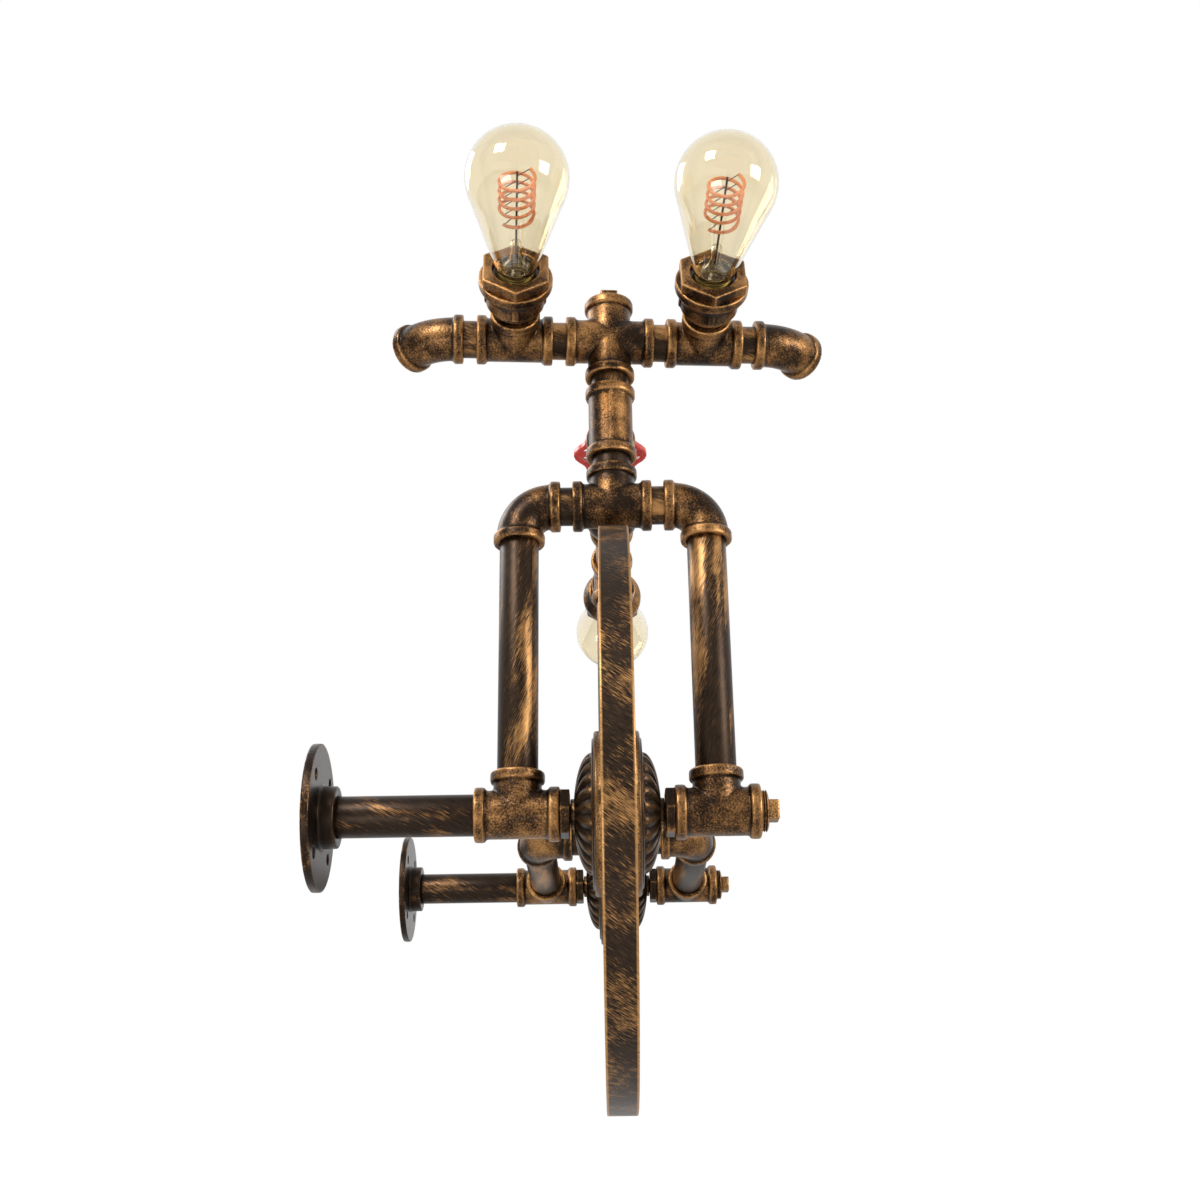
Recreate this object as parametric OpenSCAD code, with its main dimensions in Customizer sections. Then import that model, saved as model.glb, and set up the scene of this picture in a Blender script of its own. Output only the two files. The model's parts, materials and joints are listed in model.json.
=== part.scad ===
// Wall light in the shape of a chopper bicycle, screwed together from iron pipe fittings.
// The wall is the plane y = 0 and the light stands off it towards -Y, nose towards -X.
// The origin is the centre of the front wall flange's back face.

/* [Pipe and fittings] */
// Outside diameter of the pipe
pipe_od = 25.4; // [22:0.1:28]
// Wall of the pipe
pipe_wall = 2.6; // [2:0.1:3.2]
// Outside diameter of a fitting between its collars
body_d = 29.6; // [29:0.1:31]
// Outside diameter of a fitting's collar
collar_d = 33.6; // [33:0.1:36]
// Width of a fitting's collar
collar_w = 6.6; // [5:0.1:8]
// Rounding of the collar's outer edges
collar_round = 1.1; // [0.6:0.1:1.6]
// Centre to face of a tee
tee_reach = 26; // [25:0.5:30]
// Centre to face of a right-angle elbow
elbow_reach = 27; // [26.5:0.5:31]
// Centre to face of the cross
cross_reach = 30; // [27:0.5:33]
// Centre to face of the elbows at the ends of the handlebar
bend_reach = 22; // [21:0.5:26]
// Length of thread that a pipe goes into a fitting
thread_depth = 10; // [8:0.5:11]
// Radial room between a pipe and the socket that holds it
seat_gap = 0.05; // [0.02:0.01:0.1]

/* [Front fork and handlebar] */
// Angle that the stem leans back from upright
rake = 7.5; // [4:0.5:14]
// Room between the front wheel and the crown tee above it
fork_room = 15.2; // [8:0.1:40]
// Gap of bare pipe between two fittings of the stem
stem_gap = 8.5; // [3:0.5:14]
// Gap of bare pipe beside the fittings of the handlebar
bar_gap = 9; // [4:0.5:20]
// Forward tilt of the front lamps above level
lamp_lift = 22; // [10:1:45]
// Turn of the handlebar about the stem, where its thread came tight
bar_turn = 4; // [0:1:10]

/* [Frame] */
// Head tee to the seat tee, along the backbone
backbone_reach = 252; // [240:1:290]
// Head tee to the middle of the valve, along the backbone
valve_reach = 145; // [120:1:160]
// Seat tee to the rear crown tee, down the seat tube
seat_drop = 222.5; // [200:0.5:240]
// Room between the rear wheel and the rear crown tee in front of it
rear_room = 11.2; // [6:0.1:40]

/* [Wheels] */
// Outside diameter of the front wheel
front_wheel_d = 350; // [300:1:380]
// Outside diameter of the rear wheel
rear_wheel_d = 300; // [240:1:340]
// Width of the flat iron hoop
rim_w = 18; // [14:0.5:24]
// Thickness of the flat iron hoop
rim_t = 5; // [3:0.5:8]
// Number of flat spokes in a wheel
spoke_count = 6; // [4:1:8]
// Width of a spoke
spoke_w = 12; // [8:0.5:16]
// Thickness of a spoke
spoke_t = 4; // [3:0.5:6]
// Outside diameter of a hub cover
cover_d = 100; // [80:1:110]
// Height of a hub cover from its edge to its crown
cover_h = 18; // [15:0.5:20]
// Sheet thickness of a hub cover
cover_t = 1.6; // [1.4:0.1:2]
// Width of the flat lip between a hub cover's edge and its dome
cover_lip = 13; // [10:0.5:15]
// Number of flutes round the dome of a hub cover
flute_count = 24; // [12:1:26]
// Depth of a flute
flute_depth = 1; // [0.5:0.1:1.1]
// Diameter of the axle rod
axle_d = 12; // [10:0.5:13]
// Radial running clearance of a wheel on its axle
running_gap = 0.05; // [0.03:0.01:0.08]
// Wheel's middle to the face of the axle bush beside it
hub_half = 29; // [28:0.5:36]
// Thickness of the hexagon of an axle bush
bush_hex_h = 6; // [4:0.5:8]

/* [Wall mount] */
// Wall to the middle plane of the wheels
standoff = 185; // [160:1:240]
// Diameter of a wall flange
flange_d = 90; // [80:1:110]
// Thickness of a wall flange's plate
flange_t = 5; // [4:0.5:8]
// Outside diameter of a wall flange's boss
boss_d = 38; // [35:0.5:42]
// Height of a wall flange with its boss
flange_h = 15; // [14:0.5:20]
// Number of screw holes in a wall flange
screw_count = 4; // [3:1:6]
// Diameter of the screw holes
screw_d = 7; // [4:0.5:8]
// Diameter of the circle of the screw holes
screw_circle_d = 66; // [60:1:70]

/* [Lamps] */
// Diameter of a bulb at its widest
bulb_d = 65; // [60:1:70]
// Face of the lamp's hexagon to the middle of the bulb's round end
bulb_rise = 72; // [66:1:80]
// Thickness of the bulb's glass
glass_t = 1; // [0.8:0.1:1.5]
// Diameter of the bulb's screw cap
cap_d = 26; // [24:0.5:27]
// Length of the bulb's screw cap
cap_h = 22; // [18:0.5:23]
// Length of the bell-shaped lamp socket
bell_h = 26; // [25:0.5:32]
// Diameter of the bell's mouth
bell_d = 49; // [46:0.5:54]
// Thickness of the lamp's hexagon
lamp_hex_h = 8; // [6:0.5:10]
// Width of the lamp's hexagon across its flats
lamp_hex_af = 43; // [42:0.5:46]
// Diameter of the round mouth in the lamp's hexagon
lamp_mouth_d = 31; // [28:0.5:33]
// Number of cast lugs round a bell
lug_count = 4; // [2:1:8]
// Gap of bare nipple between a tee and a bell
lamp_gap = 5; // [2:0.5:10]
// Turns of a bulb's filament
filament_turns = 4.5; // [3:0.5:6]
// Diameter of the filament's coil
filament_d = 22; // [16:1:24]
// Thickness of the filament
filament_t = 1.8; // [1.5:0.1:2]
// Rise of the filament in one turn
filament_pitch = 7; // [6:0.5:9]

/* [Valve] */
// Length of the valve body between its two faces
valve_l = 58; // [54:1:66]
// Angle between the valve's bonnet and the backbone
bonnet_lean = 68; // [60:1:90]
// Middle of the valve to the middle of the handwheel
handwheel_rise = 74; // [68:1:84]
// Outside diameter of the handwheel
handwheel_d = 58; // [50:1:66]
// Number of lobes, and of spokes, in the handwheel
lobe_count = 6; // [5:1:7]
// Thickness of the handwheel's rim
handwheel_t = 5.5; // [4.5:0.5:8]
// Diameter of the valve's spindle
spindle_d = 8; // [6:0.5:10]

/* [Hidden] */
$fn = 64;
socket_d = pipe_od + 2 * seat_gap;
pipe_bore = pipe_od - 2 * pipe_wall;
way_d = pipe_bore;
slip = 1;
hub_slack = 0.5;

fork_reach = front_wheel_d / 2 + fork_room + collar_d / 2;
rear_reach = rear_wheel_d / 2 + rear_room + collar_d / 2;
head_z = fork_reach + 2 * tee_reach + stem_gap;
cross_z = head_z + tee_reach + stem_gap + cross_reach;
rear_axle_x = backbone_reach + rear_reach;
rear_axle_z = head_z - seat_drop;
axle_tee_y = hub_half + bush_hex_h + tee_reach;
bar_tee_y = cross_reach + bar_gap + tee_reach;
bar_end_y = bar_tee_y + tee_reach + bar_gap + bend_reach;

front_axle_at = [0, 0, 0];
rear_axle_at = [rear_axle_x, 0, rear_axle_z];
crown_at = [0, 0, fork_reach];
head_at = [0, 0, head_z];
cross_at = [0, 0, cross_z];
valve_at = [valve_reach, 0, head_z];
seat_at = [backbone_reach, 0, head_z];
rear_crown_at = [backbone_reach, 0, rear_axle_z];

iron = "#5c4026";
iron_dark = "#33271d";
steel_dark = "#2a211a";
amber = "#e9dcb0";
brass = "#b08a3c";
red = "#c0443c";
white = "#e6e0d2";
bakelite = "#2b1d14";
filament_tone = "#d9673c";

// The bicycle's own frame: X along the backbone, Y to the wall, Z up the stem
module bike(at = [0, 0, 0]) {
    translate([0, -standoff, 0]) rotate([0, rake, 0]) translate(at) children();
}

// Turns a shape made along +Z so that it points along +Y, -Y, +X, -X or -Z
module to_wall() { rotate([-90, 0, 0]) children(); }
module to_room() { rotate([90, 0, 0]) children(); }
module to_rear() { rotate([0, 90, 0]) children(); }
module to_nose() { rotate([0, -90, 0]) children(); }
module to_ground() { rotate([180, 0, 0]) children(); }
module both_sides() {
    children();
    mirror([0, 1, 0]) children();
}

// Half outlines of one arm of a fitting: a rounded collar at the face, on a plain body
module collar_outline(reach) {
    r = collar_d / 2;
    translate([0, reach - collar_w]) {
        square([r - collar_round, collar_w]);
        translate([0, collar_round]) square([r, collar_w - 2 * collar_round]);
        translate([r - collar_round, collar_round]) circle(collar_round);
        translate([r - collar_round, collar_w - collar_round]) circle(collar_round);
    }
}
module arm_outline(reach) {
    square([body_d / 2, reach - collar_w / 2]);
    collar_outline(reach);
}

module arm(reach) { rotate_extrude() arm_outline(reach); }

// Waterway and threaded socket of one arm
module arm_bore(reach) {
    cylinder(d = way_d, h = reach);
    translate([0, 0, reach - thread_depth]) cylinder(d = socket_d, h = thread_depth + slip);
}

// Tee with its run along Y and its branch along +Z
module tee(reach = tee_reach) {
    color(iron) difference() {
        union() {
            to_wall() arm(reach);
            to_room() arm(reach);
            arm(reach);
        }
        to_wall() arm_bore(reach);
        to_room() arm_bore(reach);
        arm_bore(reach);
    }
}

// Bend in the plane of +Z and the local +X: one arm down -Z, the other turned by `turn` towards +X.
// The curved tube runs a little way into each collar.
module bend(turn, reach) {
    straight = collar_w - slip;
    color(iron) difference() {
        union() {
            bend_tube(turn, reach, straight, body_d);
            bend_ends(turn) rotate_extrude() collar_outline(reach);
        }
        bend_tube(turn, reach, straight, way_d);
        bend_ends(turn) translate([0, 0, reach - thread_depth])
            cylinder(d = socket_d, h = thread_depth + slip);
    }
}

module bend_tube(turn, reach, straight, d) {
    radius = (reach - straight) / tan(turn / 2);
    wedge = 2 * (radius + d);
    translate([radius, 0, straight - reach]) rotate([90, 0, 0]) intersection() {
        rotate_extrude() translate([radius, 0]) circle(d = d);
        linear_extrude(height = 2 * d, center = true)
            polygon([[0, 0], [-wedge, 0], wedge * [-cos(turn), sin(turn)]]);
    }
}

module bend_ends(turn) {
    to_ground() children();
    rotate([0, turn, 0]) children();
}

// Pipe along +Z that fills a gap between two fitting faces, screwed into both
module pipe_between(gap) {
    translate([0, 0, -thread_depth]) color(iron_dark) difference() {
        cylinder(d = pipe_od, h = gap + 2 * thread_depth);
        translate([0, 0, -slip]) cylinder(d = pipe_bore, h = gap + 2 * thread_depth + 2 * slip);
    }
}

// Plug along +Z: thread in the fitting, a few threads proud of it, and a square head
module plug(proud) {
    head_w = 12;
    head_h = 7;
    color(iron_dark) {
        translate([0, 0, -thread_depth]) cylinder(d = pipe_od, h = thread_depth + proud);
        translate([-head_w / 2, -head_w / 2, proud]) cube([head_w, head_w, head_h]);
    }
}

// Wall flange with its back face at z = 0 and its boss along +Z
module flange() {
    color(iron_dark) difference() {
        union() {
            cylinder(d = flange_d, h = flange_t);
            cylinder(d = boss_d, h = flange_h);
        }
        translate([0, 0, -slip]) cylinder(d = way_d, h = flange_h + 2 * slip);
        translate([0, 0, flange_h - thread_depth]) cylinder(d = socket_d, h = thread_depth + slip);
        for (i = [0 : screw_count - 1]) rotate([0, 0, (i + 0.5) * 360 / screw_count])
            translate([screw_circle_d / 2, 0, -slip]) cylinder(d = screw_d, h = flange_t + 2 * slip);
    }
}

wall_gap = standoff - axle_tee_y - tee_reach - flange_h;

module wall_flange() { translate([0, standoff, 0]) rotate([0, -rake, 0]) to_room() flange(); }
module front_flange() { bike(front_axle_at) wall_flange(); }
module rear_flange() { bike(rear_axle_at) wall_flange(); }
module wall_pipe() { translate([0, axle_tee_y + tee_reach, 0]) to_wall() pipe_between(wall_gap); }
module front_wall_pipe() { bike(front_axle_at) wall_pipe(); }
module rear_wall_pipe() { bike(rear_axle_at) wall_pipe(); }

// Axle tees: the front ones carry the fork on their branches, the rear ones face forward
module front_inner_tee() { bike(front_axle_at) translate([0, axle_tee_y, 0]) tee(); }
module front_outer_tee() { bike(front_axle_at) translate([0, -axle_tee_y, 0]) tee(); }
module rear_inner_tee() { bike(rear_axle_at) translate([0, axle_tee_y, 0]) to_nose() tee(); }
module rear_outer_tee() { bike(rear_axle_at) translate([0, -axle_tee_y, 0]) to_nose() tee(); }

// Axle rod, screwed into the bush at each end
axle_l = 2 * (hub_half + bush_hex_h + thread_depth);
module axle_rod() {
    color(steel_dark) to_wall() translate([0, 0, -axle_l / 2]) cylinder(d = axle_d, h = axle_l);
}
module front_axle() { bike(front_axle_at) axle_rod(); }
module rear_axle() { bike(rear_axle_at) axle_rod(); }

module axle_bush() {
    hex_af = 27;
    color(iron_dark) translate([0, hub_half, 0]) to_wall() difference() {
        union() {
            cylinder(d = hex_af / cos(30), h = bush_hex_h, $fn = 6);
            translate([0, 0, bush_hex_h]) cylinder(d = pipe_od, h = thread_depth);
        }
        translate([0, 0, -slip])
            cylinder(d = axle_d + 2 * seat_gap, h = bush_hex_h + thread_depth + 2 * slip);
    }
}
module axle_bushes() { for (at = [front_axle_at, rear_axle_at]) bike(at) both_sides() axle_bush(); }

module end_plugs() {
    plug_proud = 4;
    for (at = [front_axle_at, rear_axle_at])
        bike(at) translate([0, -axle_tee_y - tee_reach, 0]) to_room() plug(plug_proud);
}

// Fork legs and crowns
leg_gap = fork_reach - tee_reach - elbow_reach;
rear_leg_gap = rear_reach - tee_reach - elbow_reach;
crown_gap = axle_tee_y - tee_reach - elbow_reach;

module front_leg() { translate([0, 0, tee_reach]) pipe_between(leg_gap); }
module rear_leg() { to_nose() translate([0, 0, tee_reach]) pipe_between(rear_leg_gap); }
module front_inner_leg() { bike(front_axle_at) translate([0, axle_tee_y, 0]) front_leg(); }
module front_outer_leg() { bike(front_axle_at) translate([0, -axle_tee_y, 0]) front_leg(); }
module rear_inner_leg() { bike(rear_axle_at) translate([0, axle_tee_y, 0]) rear_leg(); }
module rear_outer_leg() { bike(rear_axle_at) translate([0, -axle_tee_y, 0]) rear_leg(); }

// Elbow from the leg below to the crown beside it
module crown_elbow() { translate([0, axle_tee_y, 0]) rotate([0, 0, -90]) bend(90, elbow_reach); }
module front_inner_elbow() { bike(crown_at) crown_elbow(); }
module front_outer_elbow() { bike(crown_at) mirror([0, 1, 0]) crown_elbow(); }
module rear_inner_elbow() { bike(rear_crown_at) to_nose() crown_elbow(); }
module rear_outer_elbow() { bike(rear_crown_at) to_nose() mirror([0, 1, 0]) crown_elbow(); }

module crown_nipples() {
    for (at = [crown_at, rear_crown_at])
        bike(at) both_sides() translate([0, tee_reach, 0]) to_wall() pipe_between(crown_gap);
}
module crown_tee() { bike(crown_at) tee(); }
module rear_crown_tee() { bike(rear_crown_at) tee(); }

// Stem: crown tee, head tee and cross, with a nipple between each two
module stem_nipples() {
    bike(crown_at) translate([0, 0, tee_reach]) pipe_between(stem_gap);
    bike(head_at) translate([0, 0, tee_reach]) pipe_between(stem_gap);
}
// Run along the stem, branch along the backbone
module head_tee() { bike(head_at) to_rear() rotate([0, 0, 90]) tee(); }

// Everything on the handlebar turns with the cross
module bar_at() { bike(cross_at) rotate([0, 0, bar_turn]) children(); }

module cross() {
    bar_at() color(iron) difference() {
        for (i = [0 : 3]) rotate([i * 90, 0, 0]) arm(cross_reach);
        for (i = [0 : 3]) rotate([i * 90, 0, 0]) arm_bore(cross_reach);
    }
}
module cross_plug() {
    cross_plug_proud = 2;
    bar_at() translate([0, 0, cross_reach]) plug(cross_plug_proud);
}

// Handlebar
module bar_nipples() {
    bar_at() both_sides() {
        translate([0, cross_reach, 0]) to_wall() pipe_between(bar_gap);
        translate([0, bar_tee_y + tee_reach, 0]) to_wall() pipe_between(bar_gap);
    }
}
// Lamp axis of the front lamps, as a turn from the stem about the handlebar
lamp_turn = -(90 - lamp_lift + rake);
module bar_tee() { rotate([0, lamp_turn, 0]) tee(); }
module bar_inner_tee() { bar_at() translate([0, bar_tee_y, 0]) bar_tee(); }
module bar_outer_tee() { bar_at() translate([0, -bar_tee_y, 0]) bar_tee(); }

// Eighth-turn elbow at the end of the bar, swept back
module bar_end() { translate([0, bar_end_y, 0]) to_wall() bend(45, bend_reach); }
module bar_inner_end() { bar_at() bar_end(); }
module bar_outer_end() { bar_at() mirror([0, 1, 0]) bar_end(); }

// Lamps: local +Z runs from the middle of the carrying tee out through the bulb
module front_lamp_at(side) {
    bar_at() translate([0, side * bar_tee_y, 0]) rotate([0, lamp_turn, 0]) children();
}
module tail_lamp_at() { bike(seat_at) to_rear() children(); }
module each_lamp() {
    front_lamp_at(1) children();
    front_lamp_at(-1) children();
    tail_lamp_at() children();
}

bell_neck_depth = 8;
bell_web = 1.5;
bell_z = tee_reach + lamp_gap;
holder_z = bell_z + bell_neck_depth + bell_web;
bell_top_z = bell_z + bell_h;
lamp_face_z = bell_top_z + lamp_hex_h;
bulb_z = lamp_face_z + bulb_rise;
holder_d = 35;
mouth_lip = 4;
holder_h = lamp_face_z - mouth_lip - holder_z;
bell_room_d = 41;
spigot_h = 6;

module lamp_nipple() {
    nipple_l = lamp_gap + thread_depth + bell_neck_depth;
    translate([0, 0, tee_reach - thread_depth]) color(iron_dark) difference() {
        cylinder(d = pipe_od, h = nipple_l);
        translate([0, 0, -slip]) cylinder(d = pipe_bore, h = nipple_l + 2 * slip);
    }
}
module lamp_nipples() { each_lamp() lamp_nipple(); }

// Bell-shaped reducing socket: collar at the neck, straight waist with cast lugs, and a flare to the mouth
module bell() {
    neck_h = 5;
    waist_h = 8;
    waist_wall = 2;
    mouth_band = 6;
    lug_w = 4;
    lug_rise = 1.2;
    waist_r = holder_d / 2 + waist_wall;
    flare_z = neck_h + waist_h;
    flare_h = bell_h - mouth_band - flare_z;
    lug_h = bell_h - mouth_band - neck_h;
    color(iron) translate([0, 0, bell_z]) difference() {
        union() {
            cylinder(r = collar_d / 2, h = neck_h);
            translate([0, 0, neck_h - slip]) cylinder(r = waist_r, h = waist_h + slip);
            translate([0, 0, flare_z]) cylinder(r1 = waist_r, r2 = bell_d / 2, h = flare_h);
            translate([0, 0, bell_h - mouth_band]) cylinder(d = bell_d, h = mouth_band);
            for (i = [0 : lug_count - 1]) rotate([0, 0, i * 360 / lug_count])
                translate([0, -lug_w / 2, neck_h]) cube([waist_r + lug_rise, lug_w, lug_h]);
        }
        translate([0, 0, -slip]) cylinder(d = way_d, h = bell_h);
        translate([0, 0, -slip]) cylinder(d = socket_d, h = bell_neck_depth + slip);
        translate([0, 0, bell_neck_depth + bell_web]) cylinder(d = holder_d + 2 * seat_gap, h = bell_h);
        translate([0, 0, bell_h - spigot_h]) cylinder(d = bell_room_d, h = spigot_h + slip);
    }
}
module inner_bell() { front_lamp_at(1) bell(); }
module outer_bell() { front_lamp_at(-1) bell(); }
module tail_bell() { tail_lamp_at() bell(); }

// Hexagon bush that closes the bell over the lampholder, with a round mouth for the bulb's neck
module lamp_hex() {
    color(iron) translate([0, 0, bell_top_z]) difference() {
        union() {
            cylinder(d = lamp_hex_af / cos(30), h = lamp_hex_h, $fn = 6);
            translate([0, 0, -spigot_h]) cylinder(d = bell_room_d - 2 * seat_gap, h = spigot_h);
        }
        translate([0, 0, -spigot_h - slip])
            cylinder(d = holder_d + 2 * seat_gap, h = spigot_h + lamp_hex_h - mouth_lip + slip);
        translate([0, 0, -spigot_h]) cylinder(d = lamp_mouth_d, h = spigot_h + lamp_hex_h + slip);
    }
}
module lamp_hexes() { each_lamp() lamp_hex(); }

module lampholder() {
    floor_t = 2;
    color(bakelite) translate([0, 0, holder_z]) difference() {
        cylinder(d = holder_d, h = holder_h);
        translate([0, 0, floor_t]) cylinder(d = cap_d + 2 * seat_gap, h = holder_h);
    }
}
module lampholders() { each_lamp() lampholder(); }

// Bulb: a round end and the straight taper that is tangent to it, down to the neck
neck_r = cap_d / 2 - 1;
module bulb_form(shrink) {
    r = bulb_d / 2 - shrink;
    foot = bulb_rise;
    reach = sqrt(neck_r * neck_r + foot * foot);
    touch = acos(bulb_d / 2 / reach) - atan2(foot, neck_r);
    sphere(r = r);
    translate([0, 0, -foot]) cylinder(r1 = neck_r - shrink, r2 = r * cos(touch), h = foot + r * sin(touch));
}
module bulb() {
    color(amber) translate([0, 0, bulb_z]) difference() {
        bulb_form(0);
        bulb_form(glass_t);
    }
}
module inner_bulb() { front_lamp_at(1) bulb(); }
module outer_bulb() { front_lamp_at(-1) bulb(); }
module tail_bulb() { tail_lamp_at() bulb(); }

module bulb_cap() { color(brass) translate([0, 0, lamp_face_z - cap_h]) cylinder(d = cap_d, h = cap_h); }
module bulb_caps() { each_lamp() bulb_cap(); }

// Glass stem inside the bulb, with the thin post that carries the filament
stem_h = 24;
stem_d = 12;
post_d = 2.4;
filament_lift = 18;
filament_z = stem_h + filament_lift;
module bulb_stem() {
    filament_h = filament_turns * filament_pitch;
    arm_d = 1.2;
    arm_l = filament_d / 2 - filament_t / 2 - seat_gap;
    color(white) translate([0, 0, lamp_face_z]) {
        cylinder(d1 = stem_d, d2 = stem_d / 2, h = stem_h);
        cylinder(d = post_d, h = filament_z + filament_h + post_d);
        translate([0, 0, filament_z]) {
            to_rear() cylinder(d = arm_d, h = arm_l);
            rotate([0, 0, 360 * filament_turns]) translate([0, 0, filament_h]) to_rear()
                cylinder(d = arm_d, h = arm_l);
        }
    }
}
module bulb_stems() { each_lamp() bulb_stem(); }

// Filament: one helix of round tube, held at each end by an arm of the stem
filament_sides = 6;
filament_steps = 12;
function helix_at(t) = [filament_d / 2 * cos(360 * t), filament_d / 2 * sin(360 * t), filament_pitch * t];
function ring_at(t) = let (across = [cos(360 * t), sin(360 * t), 0])
    [for (k = [0 : filament_sides - 1]) let (turn = 360 * k / filament_sides)
        helix_at(t) + filament_t / 2 * (cos(turn) * across + sin(turn) * [0, 0, 1])];
// Least distance between points of the coil that lie half a turn or more apart, less the wire itself
filament_last = filament_turns * filament_steps;
filament_room = min([for (i = [0 : filament_last]) for (j = [i + filament_steps / 2 : filament_last])
    norm(helix_at(i / filament_steps) - helix_at(j / filament_steps))]) - filament_t;
echo(filament_least_gap_mm = filament_room);
module filament() {
    steps = filament_last;
    rings = [for (i = [0 : steps]) ring_at(i / filament_steps)];
    skin = [for (i = [0 : steps - 1]) for (k = [0 : filament_sides - 1]) let (
            a = i * filament_sides + k,
            b = i * filament_sides + (k + 1) % filament_sides)
        each [[a, a + filament_sides, b], [b, a + filament_sides, b + filament_sides]]];
    caps = [for (k = [1 : filament_sides - 2]) each [[0, k, k + 1],
        [steps * filament_sides, steps * filament_sides + k + 1, steps * filament_sides + k]]];
    color(filament_tone) polyhedron(points = [for (ring = rings) each ring], faces = concat(skin, caps));
}
module filaments() { each_lamp() translate([0, 0, lamp_face_z + filament_z]) filament(); }

// Backbone, valve, seat tee and seat tube
front_pipe_gap = valve_reach - valve_l / 2 - tee_reach;
rear_pipe_gap = backbone_reach - valve_reach - valve_l / 2 - tee_reach;
seat_gap_l = seat_drop - 2 * tee_reach;
module backbone_front_pipe() {
    bike(head_at) to_rear() translate([0, 0, tee_reach]) pipe_between(front_pipe_gap);
}
module backbone_rear_pipe() {
    bike(valve_at) to_rear() translate([0, 0, valve_l / 2]) pipe_between(rear_pipe_gap);
}
module seat_tee() { bike(seat_at) rotate([0, 180, 0]) rotate([0, 0, 90]) tee(); }
module seat_tube() { bike(rear_crown_at) translate([0, 0, tee_reach]) pipe_between(seat_gap_l); }

// Slanted stop valve: a swollen body with collared ends, and a bonnet that leans back
valve_ball_d = 40;
bonnet_root = 12;
bonnet_d = 22;
bonnet_h = 42;
bonnet_seat = 12;
module bonnet_at() { bike(valve_at) rotate([0, 90 - bonnet_lean, 0]) children(); }
module valve_body() {
    seat_d = bonnet_d + 2 * seat_gap;
    neck_wall = 4;
    color(iron) difference() {
        union() {
            bike(valve_at) {
                to_rear() arm(valve_l / 2);
                to_nose() arm(valve_l / 2);
                sphere(d = valve_ball_d);
            }
            bonnet_at() cylinder(d = bonnet_d + 2 * neck_wall, h = bonnet_root + bonnet_seat);
        }
        bike(valve_at) {
            to_rear() arm_bore(valve_l / 2);
            to_nose() arm_bore(valve_l / 2);
        }
        bonnet_at() translate([0, 0, bonnet_root]) cylinder(d = seat_d, h = bonnet_h);
    }
}
module valve_bonnet() {
    hex_af = 27;
    hex_h = 8;
    color(iron_dark) bonnet_at() translate([0, 0, bonnet_root]) difference() {
        union() {
            cylinder(d = bonnet_d, h = bonnet_h);
            translate([0, 0, bonnet_seat]) cylinder(d = hex_af / cos(30), h = hex_h, $fn = 6);
        }
        translate([0, 0, -slip]) cylinder(d = spindle_d + 2 * running_gap, h = bonnet_h + 2 * slip);
    }
}

// The handwheel, its nut and the spindle turn together in the bonnet
wheel_hub_d = 16;
wheel_hub_h = 9;
tail_d = 5;
nut_h = 5;
spindle_foot = bonnet_root + hub_slack;
module spindle() {
    shoulder = handwheel_rise - wheel_hub_h / 2;
    tail_end = handwheel_rise + wheel_hub_h / 2 + nut_h + slip;
    color(brass) bonnet_at() translate([0, 0, spindle_foot]) {
        cylinder(d = spindle_d, h = shoulder - spindle_foot);
        cylinder(d = tail_d, h = tail_end - spindle_foot);
    }
}

// Wavy rim with a lobe at the end of each spoke, on a thicker hub. At rest a lobe points at each side
lobe_rise = 3;
handwheel_rest = 180 / lobe_count;
wheel_rim_w = 4.6;
function wavy(r) = [for (i = [0 : 8 * lobe_count - 1]) let (turn = 45 * i / lobe_count)
    (r + lobe_rise * (cos(lobe_count * turn) - 1)) * [cos(turn), sin(turn)]];
module handwheel() {
    spoke_side = 4;
    rim_r = handwheel_d / 2;
    color(red) bonnet_at() translate([0, 0, handwheel_rise]) rotate([0, 0, handwheel_rest]) difference() {
        union() {
            linear_extrude(height = handwheel_t, center = true) difference() {
                polygon(wavy(rim_r));
                polygon(wavy(rim_r - wheel_rim_w));
            }
            for (i = [0 : lobe_count - 1]) rotate([0, 0, i * 360 / lobe_count])
                translate([0, -spoke_side / 2, -spoke_side / 2])
                cube([rim_r - wheel_rim_w / 2, spoke_side, spoke_side]);
            translate([0, 0, -wheel_hub_h / 2]) cylinder(d = wheel_hub_d, h = wheel_hub_h);
        }
        translate([0, 0, -wheel_hub_h]) cylinder(d = tail_d + 2 * seat_gap, h = 2 * wheel_hub_h);
    }
}
module handwheel_nut() {
    nut_af = 10;
    color(brass) bonnet_at() translate([0, 0, handwheel_rise + wheel_hub_h / 2]) difference() {
        cylinder(d = nut_af / cos(30), h = nut_h, $fn = 6);
        translate([0, 0, -slip]) cylinder(d = tail_d + 2 * seat_gap, h = nut_h + 2 * slip);
    }
}

// Wheels: hoop, flat spokes on a hub tube, and a fluted cover on each side of the hub
hub_d = 18;
hub_bore_d = axle_d + 2 * running_gap;
cover_z = rim_w / 2;
cover_edge_h = 5;
cover_edge_round = 1.6;
cover_step = 1.5;
cover_bead_d = 2.4;
cover_dome_r = cover_d / 2 - cover_lip;
cover_dome_h = cover_h - cover_edge_h - cover_step;
cover_ball_r = (cover_dome_r * cover_dome_r + cover_dome_h * cover_dome_h) / (2 * cover_dome_h);
flute_d = 8;
flute_mid_r = (cover_dome_r + hub_d / 2) / 2;

module rim(wheel_d) {
    color(iron_dark) to_wall() translate([0, 0, -rim_w / 2]) difference() {
        cylinder(d = wheel_d, h = rim_w, $fn = 128);
        translate([0, 0, -slip]) cylinder(d = wheel_d - 2 * rim_t, h = rim_w + 2 * slip, $fn = 128);
    }
}
module front_rim() { bike(front_axle_at) rim(front_wheel_d); }
module rear_rim() { bike(rear_axle_at) rim(rear_wheel_d); }

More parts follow.
